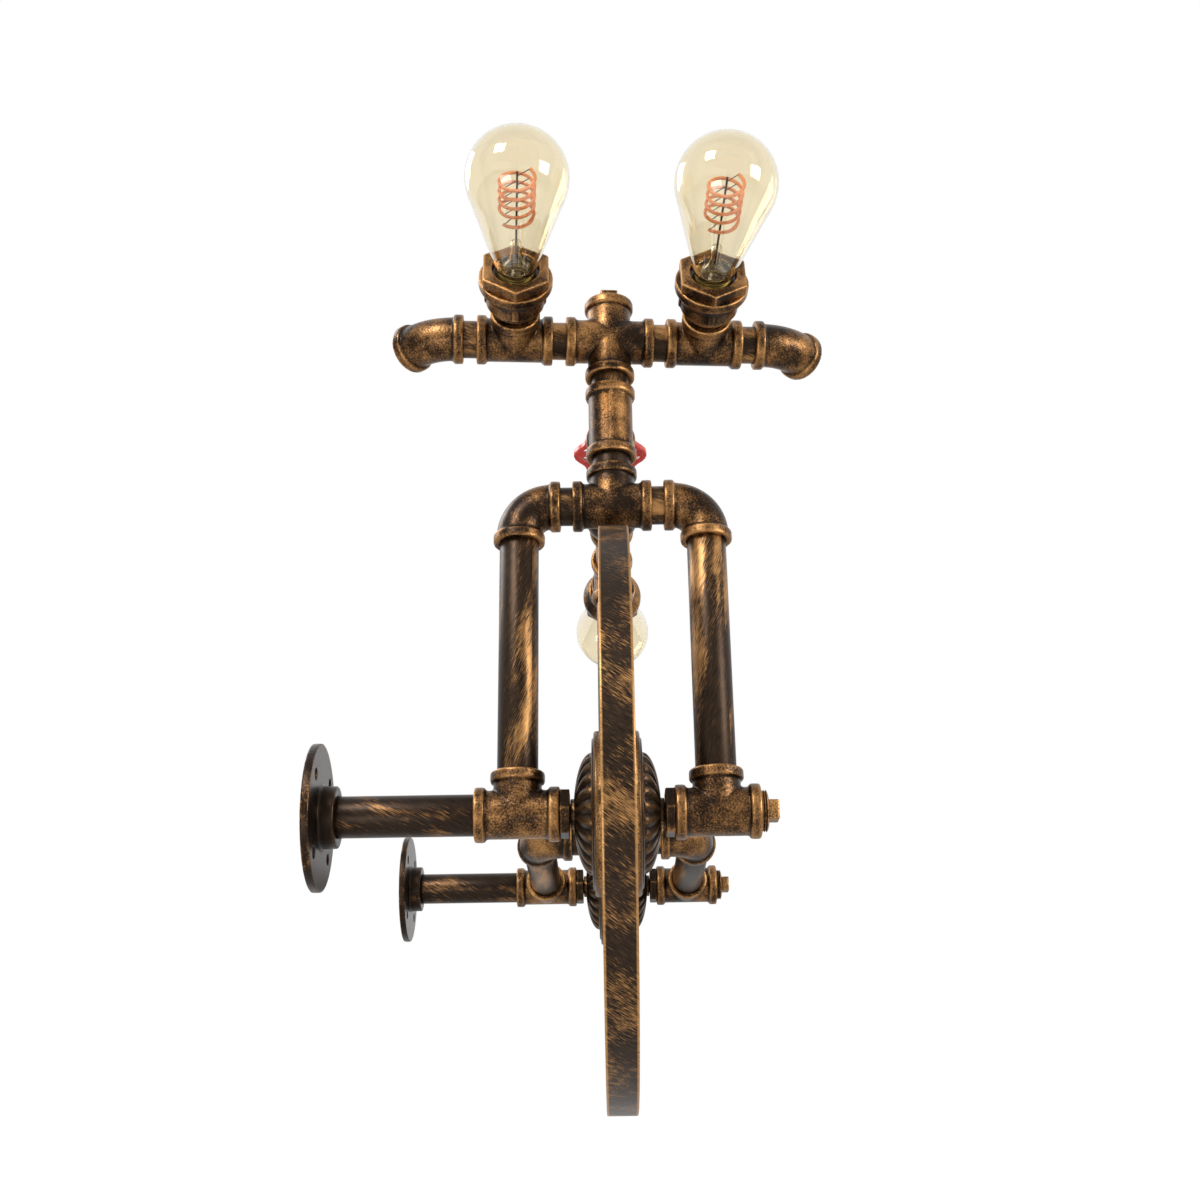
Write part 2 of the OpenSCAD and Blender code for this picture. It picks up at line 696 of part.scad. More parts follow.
module spokes(wheel_d) {
    tip_r = wheel_d / 2 - rim_t - seat_gap;
    color(iron_dark) to_wall() difference() {
        union() {
            intersection() {
                for (i = [0 : spoke_count - 1]) rotate([0, 0, i * 360 / spoke_count])
                    translate([0, -spoke_w / 2, -spoke_t / 2]) cube([wheel_d / 2, spoke_w, spoke_t]);
                translate([0, 0, -spoke_t]) cylinder(r = tip_r, h = 2 * spoke_t);
            }
            translate([0, 0, hub_slack - hub_half]) cylinder(d = hub_d, h = 2 * (hub_half - hub_slack));
        }
        translate([0, 0, -hub_half]) cylinder(d = hub_bore_d, h = 2 * hub_half);
    }
}
module front_spokes() { bike(front_axle_at) spokes(front_wheel_d); }
module rear_spokes() { bike(rear_axle_at) spokes(rear_wheel_d); }

// Pressed cover: rounded edge band, flat lip with two beads, fluted dome and a hole for the hub tube
module cover_skin(shrink) {
    r = cover_d / 2 - shrink;
    h = cover_edge_h - shrink;
    rotate_extrude() {
        square([r - cover_edge_round, h]);
        square([r, h - cover_edge_round]);
        translate([r - cover_edge_round, h - cover_edge_round]) circle(cover_edge_round);
    }
    intersection() {
        translate([0, 0, cover_h - cover_ball_r]) sphere(r = cover_ball_r - shrink);
        cylinder(r = cover_dome_r - shrink, h = cover_h);
    }
}
module cover_beads() {
    for (share = [1 / 3, 3 / 4]) rotate_extrude()
        translate([cover_dome_r + share * (cover_lip - cover_edge_round), cover_edge_h])
        circle(d = cover_bead_d);
}
// Straight round cuts laid along the dome's meridians: the dome falls away from them at both ends
module flutes() {
    lean = asin(flute_mid_r / cover_ball_r);
    for (i = [0 : flute_count - 1]) rotate([0, 0, i * 360 / flute_count])
        translate([0, 0, cover_h - cover_ball_r]) rotate([0, lean, 0])
        translate([0, 0, cover_ball_r + flute_d / 2 - flute_depth]) rotate([0, 90, 0])
        cylinder(d = flute_d, h = cover_dome_r, center = true);
}
module cover() {
    color(iron_dark) translate([0, cover_z, 0]) to_wall() difference() {
        union() {
            cover_skin(0);
            cover_beads();
        }
        translate([0, 0, -slip]) cylinder(r = cover_d / 2 - cover_t, h = slip);
        cover_skin(cover_t);
        translate([0, 0, -slip]) cylinder(d = hub_d + 2 * seat_gap, h = cover_h + 2 * slip);
        flutes();
    }
}
module front_hub_covers() { bike(front_axle_at) both_sides() cover(); }
module rear_hub_covers() { bike(rear_axle_at) both_sides() cover(); }

front_flange();
rear_flange();
front_wall_pipe();
rear_wall_pipe();
front_inner_tee();
front_outer_tee();
rear_inner_tee();
rear_outer_tee();
front_axle();
rear_axle();
axle_bushes();
end_plugs();
front_inner_leg();
front_outer_leg();
rear_inner_leg();
rear_outer_leg();
front_inner_elbow();
front_outer_elbow();
rear_inner_elbow();
rear_outer_elbow();
crown_nipples();
crown_tee();
rear_crown_tee();
stem_nipples();
head_tee();
cross();
cross_plug();
bar_nipples();
bar_inner_tee();
bar_outer_tee();
bar_inner_end();
bar_outer_end();
lamp_nipples();
inner_bell();
outer_bell();
tail_bell();
lamp_hexes();
lampholders();
inner_bulb();
outer_bulb();
tail_bulb();
bulb_caps();
bulb_stems();
filaments();
backbone_front_pipe();
backbone_rear_pipe();
seat_tee();
seat_tube();
valve_body();
valve_bonnet();
spindle();
handwheel();
handwheel_nut();
front_rim();
rear_rim();
front_spokes();
rear_spokes();
front_hub_covers();
rear_hub_covers();
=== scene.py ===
# %% [markdown]
# A wall light in the shape of a chopper bicycle, screwed together from malleable-iron pipe fittings.
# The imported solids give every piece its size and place. This notebook gives them their skins: soft cast
# edges, fluted hub covers, blown bulbs and the antique-bronze finish that is rubbed over black paint.

# %% Load the fixed frame
import json
import math

import bpy
from mathutils import Matrix, Vector


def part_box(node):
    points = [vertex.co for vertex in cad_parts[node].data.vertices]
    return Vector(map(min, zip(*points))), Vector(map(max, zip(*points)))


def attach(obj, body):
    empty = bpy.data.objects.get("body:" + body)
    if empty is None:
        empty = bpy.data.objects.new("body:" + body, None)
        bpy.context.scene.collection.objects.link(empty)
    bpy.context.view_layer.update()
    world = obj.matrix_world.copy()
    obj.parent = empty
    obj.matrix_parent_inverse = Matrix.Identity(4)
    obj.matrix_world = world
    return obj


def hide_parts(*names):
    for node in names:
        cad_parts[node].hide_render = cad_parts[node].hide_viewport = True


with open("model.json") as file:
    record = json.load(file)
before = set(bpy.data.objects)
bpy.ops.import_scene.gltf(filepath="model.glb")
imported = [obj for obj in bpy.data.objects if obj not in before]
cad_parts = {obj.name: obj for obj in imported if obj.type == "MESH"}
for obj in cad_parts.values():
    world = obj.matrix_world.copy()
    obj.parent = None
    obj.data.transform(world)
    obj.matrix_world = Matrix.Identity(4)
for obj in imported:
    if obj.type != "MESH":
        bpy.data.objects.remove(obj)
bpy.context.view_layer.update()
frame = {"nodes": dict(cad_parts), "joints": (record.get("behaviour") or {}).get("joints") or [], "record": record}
nodes = frame["nodes"]
MM = 0.001
body_of_node = {n: b for b, names in frame["record"]["behaviour"]["bodies"].items() for n in names}
joint_at = {j["name"]: Vector(j["pos_m"]) for j in frame["joints"]}

# %% [markdown]
# The bicycle has a frame of its own, leaned back from the wall's. Its stem runs from the front axle
# through the two nipples of the stem, so the middle of their box gives the lean.

# %% The bicycle's own axes
front_axle = joint_at["front_wheel_spin"]
rear_axle = joint_at["rear_wheel_spin"]
WALL = Vector((0, 1, 0))


def middle(node):
    low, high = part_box(node)
    return (low + high) / 2


stem_up = (middle("stem_nipples") - front_axle).normalized()
backbone = WALL.cross(stem_up)
print("stem leans back", round(math.degrees(math.atan2(stem_up.x, stem_up.z)), 2), "degrees")

# %% [markdown]
# The photograph was taken from low down in front of the nose, looking up. The lens and the place were
# found by matching the axle tees, the crown, the cross and the bulbs, so they are real sizes here.

# %% Camera
camera_lens_mm, sensor_mm = 46.55, 36.0
camera_at = Vector((-0.9463, -0.1807, -0.1143))
camera_pitch, camera_yaw, camera_roll = (math.radians(a) for a in (14.72, 0.27, -0.85))
look = Vector((
    math.cos(camera_pitch) * math.cos(camera_yaw),
    math.cos(camera_pitch) * math.sin(camera_yaw),
    math.sin(camera_pitch),
))
level_right = look.cross(Vector((0, 0, 1))).normalized()
level_up = level_right.cross(look)
right = math.cos(camera_roll) * level_right + math.sin(camera_roll) * level_up
up = math.cos(camera_roll) * level_up - math.sin(camera_roll) * level_right
bpy.ops.object.camera_add()
camera = bpy.context.object
camera.data.sensor_width = sensor_mm
camera.data.lens = camera_lens_mm
camera.matrix_world = Matrix.Translation(camera_at) @ Matrix((right, up, -look)).transposed().to_4x4()
bpy.context.scene.camera = camera
bpy.context.scene.view_settings.view_transform = "Standard"
print("camera", [round(v, 3) for v in camera.location])

# %% [markdown]
# Every finish here is a small tree of shader nodes. In the editor one adds a node, sets its fields and draws
# wires to it, and these helpers do the same. A wire comes from a named output, or else from a node's first.

# %% Helpers for shader nodes
def set_sockets(tree, node, sockets):
    """Sets a node's inputs, by name or by number among the open ones, to values or wires."""
    open_inputs = [socket for socket in node.inputs if socket.enabled]
    for key, value in sockets.items():
        socket = open_inputs[key] if isinstance(key, int) else node.inputs[key]
        if isinstance(value, bpy.types.Node):
            value = next(output for output in value.outputs if output.enabled)
        if isinstance(value, bpy.types.NodeSocket):
            tree.links.new(value, socket)
        else:
            socket.default_value = value


def add_node(tree, kind, sockets=None, **settings):
    """Adds one shader node with its settings, its values and its wires."""
    node = tree.nodes.new(kind)
    for key, value in settings.items():
        setattr(node, key, value)
    set_sockets(tree, node, sockets or {})
    return node


def linear(hex_colour):
    """sRGB hex to the linear colour that the shaders take."""
    parts = [int(hex_colour[i : i + 2], 16) / 255 for i in (1, 3, 5)]
    return tuple(c / 12.92 if c <= 0.04045 else ((c + 0.055) / 1.055) ** 2.4 for c in parts) + (1.0,)


def new_material(name):
    made = bpy.data.materials.new(name)
    made.use_nodes = True
    return made, made.node_tree, made.node_tree.nodes["Principled BSDF"]


WHITE = linear("#ffffff")
print("white in linear light", [round(part, 3) for part in WHITE])

# %% [markdown]
# A product shot on white. The world is white where it is seen, mirrored or looked at through glass. A plain
# white world would also light every side alike, so the light that it sheds on the fittings is weaker, and the
# studio lights can model their round forms.

# %% White room
room_light, room_white = 0.4, 1.0
world = bpy.data.worlds.new("white_room")
bpy.context.scene.world = world
world.use_nodes = True
sky = world.node_tree
ray = add_node(sky, "ShaderNodeLightPath")
seen = add_node(sky, "ShaderNodeMath", {
    0: ray.outputs["Is Camera Ray"], 1: ray.outputs["Is Transmission Ray"]}, operation="MAXIMUM")
shown = add_node(sky, "ShaderNodeMath", {0: seen, 1: ray.outputs["Is Glossy Ray"]}, operation="MAXIMUM")
glow = add_node(sky, "ShaderNodeMapRange", {"Value": shown, "To Min": room_light, "To Max": room_white})
set_sockets(sky, sky.nodes["Background"], {"Color": WHITE, "Strength": glow})
print("white room, which lights the fittings at", room_light)

# %% [markdown]
# The floor is a sheet of paper, well below the wall light. A backdrop could curve up from it, but the world
# is white already, so the paper only glows a little where the camera sees it and meets the white room.

# %% Paper floor
floor_drop, floor_size, paper_white = 0.55, 12.0, 0.6
bpy.ops.mesh.primitive_plane_add(size=floor_size, location=(0, 0, -floor_drop))
floor = bpy.context.object
floor.name = "floor"
# White paper, matt: it mirrors nothing and keeps a soft shadow
white_paper, tree, shader = new_material("white_paper")
ray = add_node(tree, "ShaderNodeLightPath")
paper_glow = add_node(tree, "ShaderNodeMath", {
    0: ray.outputs["Is Camera Ray"], 1: paper_white}, operation="MULTIPLY")
set_sockets(tree, shader, {"Base Color": linear("#f4f4f4"), "Roughness": 0.9,
                           "Emission Color": WHITE, "Emission Strength": paper_glow})
floor.data.materials.append(white_paper)
print("floor", floor_drop, "m below the front flange")

# %% [markdown]
# Four soft lights: the key light in front, high on the left, a weak one low down, one on the right and one
# behind, high up. Sun lights would be simpler, but their shadows are hard, and a large area light also makes
# a broad highlight on bronze. All of them face a point half way up the front of the bicycle.

# %% Studio lights
aim = (front_axle + middle("cross")) / 2


def soft_light(name, place, size, watts):
    bpy.ops.object.light_add(type="AREA", location=place)
    light = bpy.context.object
    light.name = name
    light.data.size = size
    light.data.energy = watts
    light.rotation_euler = (aim - Vector(place)).to_track_quat("-Z", "Y").to_euler()


soft_light("key_light", place=(-1.2, 0.7, 1.5), size=0.6, watts=30)
soft_light("side_light", place=(-0.8, -1.5, 0.5), size=0.6, watts=16)
soft_light("low_light", place=(-1.2, 0.4, -0.4), size=0.6, watts=6)
soft_light("back_light", place=(1.1, 1.3, 1.4), size=0.9, watts=14)

# %% [markdown]
# Bronzed cast iron. The fittings are malleable iron, sand cast, sprayed black and then rubbed with bronze
# paste. The rag leaves paste on collars and edges, in broad patches, and misses the hollows and the pits of
# the sand grain. An image could be painted for this, but every fitting would need its own, so the patches are
# a broad noise and the pits a fine one. Sand of about 0.3 mm is too fine to show in the picture, so its grain
# is drawn at about 1 mm. Pointiness finds sharp edges. A cast skin also carries a measured mark called proud,
# which says how far a point stands out of its surroundings, and some pieces carry one called edge.

# %% Bronzed cast iron
BLACK_COAT, BROWN_COAT = linear("#17110c"), linear("#2e2117")
BRONZE_DEEP, BRONZE_RUB, BRONZE_BRIGHT = linear("#5c4026"), linear("#936a3f"), linear("#bd8c55")
coat_blotch_mm = 9.0
iron_relief_mm = 0.3
# Paste stays on the flat where more than a level was laid, and cover lowers that level
iron_level, iron_level_drop = 0.7, 0.45


def bronzed_iron(name, rub_mm, grain_mm, cover, worn=1.0):
    """cover is the share of the surface that the paste takes, worn how bright its edges are, from 0 to 1."""
    made, tree, shader = new_material(name)
    place = add_node(tree, "ShaderNodeTexCoord").outputs["Object"]
    rub = add_node(tree, "ShaderNodeTexNoise", {
        "Vector": place, "Scale": 1 / (rub_mm * MM), "Detail": 4.0, "Roughness": 0.6})
    grain = add_node(tree, "ShaderNodeTexNoise", {
        "Vector": place, "Scale": 1 / (grain_mm * MM), "Detail": 3.0, "Roughness": 0.7})
    blotch = add_node(tree, "ShaderNodeTexNoise", {"Vector": place, "Scale": 1 / (coat_blotch_mm * MM)})

    # Edges catch the rag, and hollows keep their black
    bend = add_node(tree, "ShaderNodeNewGeometry").outputs["Pointiness"]
    marked = add_node(tree, "ShaderNodeAttribute", attribute_name="edge").outputs["Fac"]
    sharp = add_node(tree, "ShaderNodeMapRange", {"Value": bend, "From Min": 0.505, "From Max": 0.56})
    edge = add_node(tree, "ShaderNodeMath", {0: sharp, 1: marked}, operation="MAXIMUM")
    ragged = add_node(tree, "ShaderNodeMapRange", {
        "Value": grain, "From Min": 0.38, "From Max": 0.58, "To Min": 0.3 * worn, "To Max": 0.9 * worn})
    worn_edge = add_node(tree, "ShaderNodeMath", {0: edge, 1: ragged}, operation="MULTIPLY")
    not_hollow = add_node(tree, "ShaderNodeMapRange", {"Value": bend, "From Min": 0.44, "From Max": 0.495})

    # How much paste was laid, from 0 to 1: broad patches, less the pits, more where the casting stands proud
    proud = add_node(tree, "ShaderNodeAttribute", attribute_name="proud").outputs["Fac"]
    broad = add_node(tree, "ShaderNodeMapRange", {
        "Value": rub, "From Min": 0.3, "From Max": 0.7, "To Max": 0.45})
    pitted = add_node(tree, "ShaderNodeMapRange", {
        "Value": grain, "From Min": 0.3, "From Max": 0.7, "To Max": 0.35})
    raised = add_node(tree, "ShaderNodeMapRange", {
        "Value": proud, "From Min": -0.8, "From Max": 1.2, "To Min": -0.3, "To Max": 0.3})
    patches = add_node(tree, "ShaderNodeMath", {0: broad, 1: pitted}, operation="ADD")
    laid = add_node(tree, "ShaderNodeMath", {0: patches, 1: raised}, operation="ADD", use_clamp=True)
    level = iron_level - iron_level_drop * cover
    on_flat = add_node(tree, "ShaderNodeMapRange", {
        "Value": laid, "From Min": level - 0.1, "From Max": level + 0.1})
    rubbed_on = add_node(tree, "ShaderNodeMath", {0: on_flat, 1: worn_edge}, operation="MAXIMUM")
    paste = add_node(tree, "ShaderNodeMath", {0: rubbed_on, 1: not_hollow}, operation="MULTIPLY")

    # Thin paste is deep bronze, thick paste paler, and edges are rubbed bright
    thick = add_node(tree, "ShaderNodeMapRange", {
        "Value": laid, "From Min": level - 0.05, "From Max": level + 0.3})
    heaped = add_node(tree, "ShaderNodeMapRange", {
        "Value": laid, "From Min": level + 0.15, "From Max": level + 0.42, "To Max": 0.85})
    shine = add_node(tree, "ShaderNodeMath", {0: worn_edge, 1: heaped}, operation="MAXIMUM")
    under = add_node(tree, "ShaderNodeMix", {0: blotch, 1: BLACK_COAT, 2: BROWN_COAT}, data_type="RGBA")
    rubbed = add_node(tree, "ShaderNodeMix", {0: thick, 1: BRONZE_DEEP, 2: BRONZE_RUB}, data_type="RGBA")
    bright = add_node(tree, "ShaderNodeMix", {0: shine, 1: rubbed, 2: BRONZE_BRIGHT}, data_type="RGBA")
    colour = add_node(tree, "ShaderNodeMix", {0: paste, 1: under, 2: bright}, data_type="RGBA")
    rough = add_node(tree, "ShaderNodeMapRange", {"Value": paste, "To Min": 0.3, "To Max": 0.35})
    relief = add_node(tree, "ShaderNodeBump", {
        "Strength": 0.5, "Distance": iron_relief_mm * MM, "Height": grain})
    set_sockets(tree, shader, {
        "Base Color": colour, "Metallic": 0.9, "Roughness": rough, "Normal": relief})
    return made


# Pipe fittings: most of the black is rubbed over, and the sand grain shows as fine pits
cast_iron = bronzed_iron("bronzed_cast_iron", rub_mm=26.0, grain_mm=1.1, cover=0.8)
print("made", cast_iron.name)

# %% [markdown]
# Dry-brushed pipe. Steel pipe is smooth, so the paste was dragged over it with a stiff brush, slantwise.
# Where the brush was full it left a broad patch, elsewhere only the marks of its hairs. Both are noises that
# are stretched along the brush's path. On Object coordinates they would run straight through a pipe, so they
# follow a map that is wrapped round each one. A hair of the brush is about 0.1 mm thick, too fine to show, so
# its mark is drawn about four times as wide.

# %% Dry-brushed pipe
brush_relief_mm = 0.1
pipe_level, pipe_level_drop = 0.8, 0.48


def dry_brushed(name, slant_deg, hair_mm, stroke_mm, patch_mm, patch_long_mm, patchy, cover, haze, bright):
    """Streaks on a UV map in metres, U round the piece and V along it.

    patchy is how much of the paste comes in broad patches, and cover how much of the pipe takes it.
    """
    made, tree, shader = new_material(name)
    wrapped = add_node(tree, "ShaderNodeTexCoord").outputs["UV"]
    marks = []
    # Hairs follow the full slant of the brush, and the patches that it leaves a third of it
    for turn_deg, width_mm, length_mm, roughness in (
        (slant_deg, hair_mm, stroke_mm, 0.65),
        (slant_deg / 3, patch_mm, patch_long_mm, 0.5),
    ):
        slanted = add_node(tree, "ShaderNodeMapping", {
            "Vector": wrapped, "Rotation": (0, 0, math.radians(turn_deg))})
        drawn_out = add_node(tree, "ShaderNodeMapping", {
            "Vector": slanted, "Scale": (1 / (width_mm * MM), 1 / (length_mm * MM), 1)})
        marks.append(add_node(tree, "ShaderNodeTexNoise", {
            "Vector": drawn_out, "Scale": 1.0, "Detail": 3.0, "Roughness": roughness}))
    hairs, load = marks

    # Paste lies where the brush was full and where a hair pressed, with a few scratches between
    full = add_node(tree, "ShaderNodeMapRange", {
        "Value": load, "From Min": 0.3, "From Max": 0.7, "To Max": patchy})
    streaks = add_node(tree, "ShaderNodeMapRange", {
        "Value": hairs, "From Min": 0.3, "From Max": 0.7, "To Max": 1 - patchy})
    laid = add_node(tree, "ShaderNodeMath", {0: full, 1: streaks}, operation="ADD", use_clamp=True)
    level = pipe_level - pipe_level_drop * cover
    brushed = add_node(tree, "ShaderNodeMapRange", {
        "Value": laid, "From Min": level - 0.07, "From Max": level + 0.07})
    scratch = add_node(tree, "ShaderNodeMapRange", {
        "Value": hairs, "From Min": 0.58, "From Max": 0.72, "To Max": 0.4})
    paste = add_node(tree, "ShaderNodeMath", {0: brushed, 1: scratch}, operation="MAXIMUM")
    edge = add_node(tree, "ShaderNodeAttribute", attribute_name="edge").outputs["Fac"]
    ragged = add_node(tree, "ShaderNodeMapRange", {
        "Value": hairs, "From Min": 0.35, "From Max": 0.6, "To Min": 0.3, "To Max": 1.0})
    bright_edge = add_node(tree, "ShaderNodeMath", {0: edge, 1: ragged}, operation="MULTIPLY")

    # The coat under the paste is hazed by earlier strokes
    hazy = add_node(tree, "ShaderNodeMapRange", {"Value": hairs, "From Min": 0.35, "From Max": 0.65})
    thick = add_node(tree, "ShaderNodeMapRange", {
        "Value": laid, "From Min": level - 0.1, "From Max": level + 0.3})
    under = add_node(tree, "ShaderNodeMix", {0: hazy, 1: BLACK_COAT, 2: haze}, data_type="RGBA")
    rubbed = add_node(tree, "ShaderNodeMix", {0: thick, 1: BRONZE_DEEP, 2: bright}, data_type="RGBA")
    coated = add_node(tree, "ShaderNodeMix", {0: paste, 1: under, 2: rubbed}, data_type="RGBA")
    colour = add_node(tree, "ShaderNodeMix", {0: bright_edge, 1: coated, 2: BRONZE_BRIGHT}, data_type="RGBA")
    rough = add_node(tree, "ShaderNodeMapRange", {
        "Value": hairs, "From Min": 0.3, "From Max": 0.7, "To Min": 0.3, "To Max": 0.46})
    relief = add_node(tree, "ShaderNodeBump", {
        "Strength": 0.2, "Distance": brush_relief_mm * MM, "Height": hairs})
    set_sockets(tree, shader, {
        "Base Color": colour, "Metallic": 0.85, "Roughness": rough, "Normal": relief})
    return made


# Frame pipes: long bright patches of bronze between black stretches
brushed_pipe = dry_brushed(
    "dry_brushed_pipe", slant_deg=24, hair_mm=0.4, stroke_mm=8.0, patch_mm=20.0, patch_long_mm=110.0,
    patchy=0.64, cover=0.45, haze=linear("#3a2a1c"), bright=BRONZE_BRIGHT)
# Wall pipes: hardly any paste, so that they read as black with thin slanting marks
dark_pipe = dry_brushed(
    "thinly_brushed_pipe", slant_deg=28, hair_mm=0.5, stroke_mm=10.0, patch_mm=12.0, patch_long_mm=40.0,
    patchy=0.5, cover=0.24, haze=linear("#33251a"), bright=BRONZE_RUB)
# Rolled bar of the wheels: short steep scratches all over, in patches along the hoop
scratched_hoop = dry_brushed(
    "scratched_hoop", slant_deg=38, hair_mm=0.4, stroke_mm=7.0, patch_mm=24.0, patch_long_mm=36.0,
    patchy=0.4, cover=0.35, haze=linear("#3a2b1e"), bright=BRONZE_BRIGHT)
print("finishes", brushed_pipe.name, dark_pipe.name, scratched_hoop.name)

# %% [markdown]
# Red enamel, brass, darkened steel, bakelite and the coated filament are simpler. Each is one noise between
# two tones, which also varies the gloss, and the noise is a faint relief where the real surface isn't even.

# %% Smaller finishes
finish_relief_mm, gloss_swing = 0.1, 0.15


def blotched_finish(name, first, second, blotch_mm, rough, metal, ripple=0.0):
    made, tree, shader = new_material(name)
    place = add_node(tree, "ShaderNodeTexCoord").outputs["Object"]
    blotch = add_node(tree, "ShaderNodeTexNoise", {
        "Vector": place, "Scale": 1 / (blotch_mm * MM), "Detail": 3.0, "Roughness": 0.6})
    colour = add_node(tree, "ShaderNodeMix", {
        0: blotch, 1: linear(first), 2: linear(second)}, data_type="RGBA")
    gloss = add_node(tree, "ShaderNodeMapRange", {
        "Value": blotch, "From Min": 0.3, "From Max": 0.7,
        "To Min": (1 - gloss_swing) * rough, "To Max": (1 + gloss_swing) * rough})
    relief = add_node(tree, "ShaderNodeBump", {
        "Strength": ripple, "Distance": finish_relief_mm * MM, "Height": blotch})
    set_sockets(tree, shader, {
        "Base Color": colour, "Metallic": metal, "Roughness": gloss, "Normal": relief})
    return made


# Red enamel, sprayed thick on the cast handwheel: glossy, with a faint orange peel
red_enamel = blotched_finish(
    "red_enamel", "#a82620", "#d24a40", blotch_mm=2.2, rough=0.22, metal=0.0, ripple=0.25)
# Rolled brass that has dulled: brown clouds in a soft gloss
aged_brass = blotched_finish(
    "aged_brass", "#4d3f1f", "#7a6531", blotch_mm=3.0, rough=0.34, metal=1.0, ripple=0.1)
# Steel darkened in oil: nearly black, with a brown bloom
dark_steel = blotched_finish(
    "darkened_steel", "#1c1712", "#3a2c20", blotch_mm=3.0, rough=0.4, metal=0.7, ripple=0.15)
# Bakelite, moulded under pressure: smooth, deep brown, with clouds of its filler
bakelite = blotched_finish("moulded_bakelite", "#1d130d", "#33231a", blotch_mm=6.0, rough=0.25, metal=0.0)
# Filament with a matt coat, which looks orange when it isn't lit
coated_filament = blotched_finish(
    "coated_filament", "#dc7a38", "#efab8c", blotch_mm=9.0, rough=0.55, metal=0.0)
small = (red_enamel, aged_brass, dark_steel, bakelite, coated_filament)
print("smaller finishes", [finish.name for finish in small])

# %% [markdown]
# Glass. The bulbs are soda-lime glass, blown in a mould and tinted amber, and the stems inside are clear. A
# bulb's wall has its thickness in the mesh, so the shader needs only the tint, the polish and the IOR.

# %% Glass
GLASS_IOR, BLOWN_POLISH = 1.5, 0.02


def blown_glass(name, tint):
    made, tree, shader = new_material(name)
    set_sockets(tree, shader, {
        "Base Color": linear(tint), "Roughness": BLOWN_POLISH, "IOR": GLASS_IOR, "Transmission Weight": 1.0})
    return made


# Amber glass: each wall takes a little blue away, so a bulb looks like weak tea
amber_glass = blown_glass("amber_glass", "#f6eed9")
# Clear glass: only its rims and highlights show
clear_glass = blown_glass("clear_glass", "#fbf8ee")
print("materials", len(bpy.data.materials))

# %% [markdown]
# A cast skin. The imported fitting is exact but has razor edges. On the real casting the crotch between two
# arms is a fillet, and the collars are rounded by the sand. So a merged copy of the solid is remeshed into
# small even faces and smoothed, which blends both, and the dense mesh also lets the shader find the edges.

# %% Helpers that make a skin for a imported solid
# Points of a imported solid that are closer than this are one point
weld_mm = 0.005
proud_reach_mm = 3.5


def deselect():
    if bpy.context.object and bpy.context.object.mode != "OBJECT":
        bpy.ops.object.mode_set(mode="OBJECT")
    bpy.ops.object.select_all(action="DESELECT")


def take(piece):
    deselect()
    piece.select_set(True)
    bpy.context.view_layer.objects.active = piece


def discard(piece):
    bpy.data.objects.remove(piece)


def merged_copy(node, name):
    """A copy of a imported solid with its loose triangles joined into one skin."""
    piece = nodes[node].copy()
    piece.data = nodes[node].data.copy()
    piece.name = name
    for key in [k for k in piece.keys() if k.startswith("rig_")]:
        del piece[key]
    piece.parent = None
    bpy.context.scene.collection.objects.link(piece)
    take(piece)
    bpy.ops.object.mode_set(mode="EDIT")
    bpy.ops.mesh.select_all(action="SELECT")
    bpy.ops.mesh.remove_doubles(threshold=weld_mm * MM)
    bpy.ops.mesh.tris_convert_to_quads()
    bpy.ops.object.mode_set(mode="OBJECT")
    if piece.data.has_custom_normals:
        bpy.ops.mesh.customdata_custom_splitnormals_clear()
    return piece


def apply_modifier(piece, kind, **settings):
    take(piece)
    change = piece.modifiers.new(kind.lower(), kind)
    for key, value in settings.items():
        setattr(change, key, value)
    bpy.ops.object.modifier_apply(modifier=change.name)


def finish_piece(piece, material, node):
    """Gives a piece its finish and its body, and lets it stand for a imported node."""
    piece.data.materials.clear()
    piece.data.materials.append(material)
    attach(piece, body_of_node[node])
    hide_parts(node)
    return piece


def mark_proud(piece, edge_mm):
    """Marks each point with how far, in millimetres, it stands out of a copy smoothed over a reach."""
    smoothed = piece.copy()
    smoothed.data = piece.data.copy()
    bpy.context.scene.collection.objects.link(smoothed)
    # A pass spreads a point over the next edge only, so the passes grow with the square of the reach
    apply_modifier(smoothed, "SMOOTH", factor=0.5, iterations=int(2 * (proud_reach_mm / edge_mm) ** 2))
    marks = piece.data.attributes.new("proud", "FLOAT", "POINT")
    for v, low in zip(piece.data.vertices, smoothed.data.vertices):
        marks.data[v.index].value = (v.co - low.co).dot(v.normal) / MM
    discard(smoothed)


def cast_skin(node, voxel_mm=0.8, passes=2, material=cast_iron):
    """A remeshed, smoothed skin that stands for a packed casting."""
    piece = merged_copy(node, node + "_skin")
    apply_modifier(piece, "REMESH", mode="VOXEL", voxel_size=voxel_mm * MM)
    apply_modifier(piece, "SMOOTH", factor=0.5, iterations=passes)
    mark_proud(piece, voxel_mm)
    take(piece)
    bpy.ops.object.shade_smooth()
    return finish_piece(piece, material, node)


print("packed nodes that wait for a skin", len(nodes))

# %% [markdown]
# The tees, elbows, bar ends and the cross are all collared fittings of one kind, so one call skins each of
# them. The head tee faces the eye with its parting seam, the ridge where the halves of its mould met. The
# points of that ridge are selected by their place and lifted.

# %% Pipe fittings
seam_half_mm, seam_high_mm, seam_long_mm = 1.0, 0.8, 38.0
# Points that face more than 60 degrees away from the front aren't part of the ridge
seam_facing = math.cos(math.radians(60))


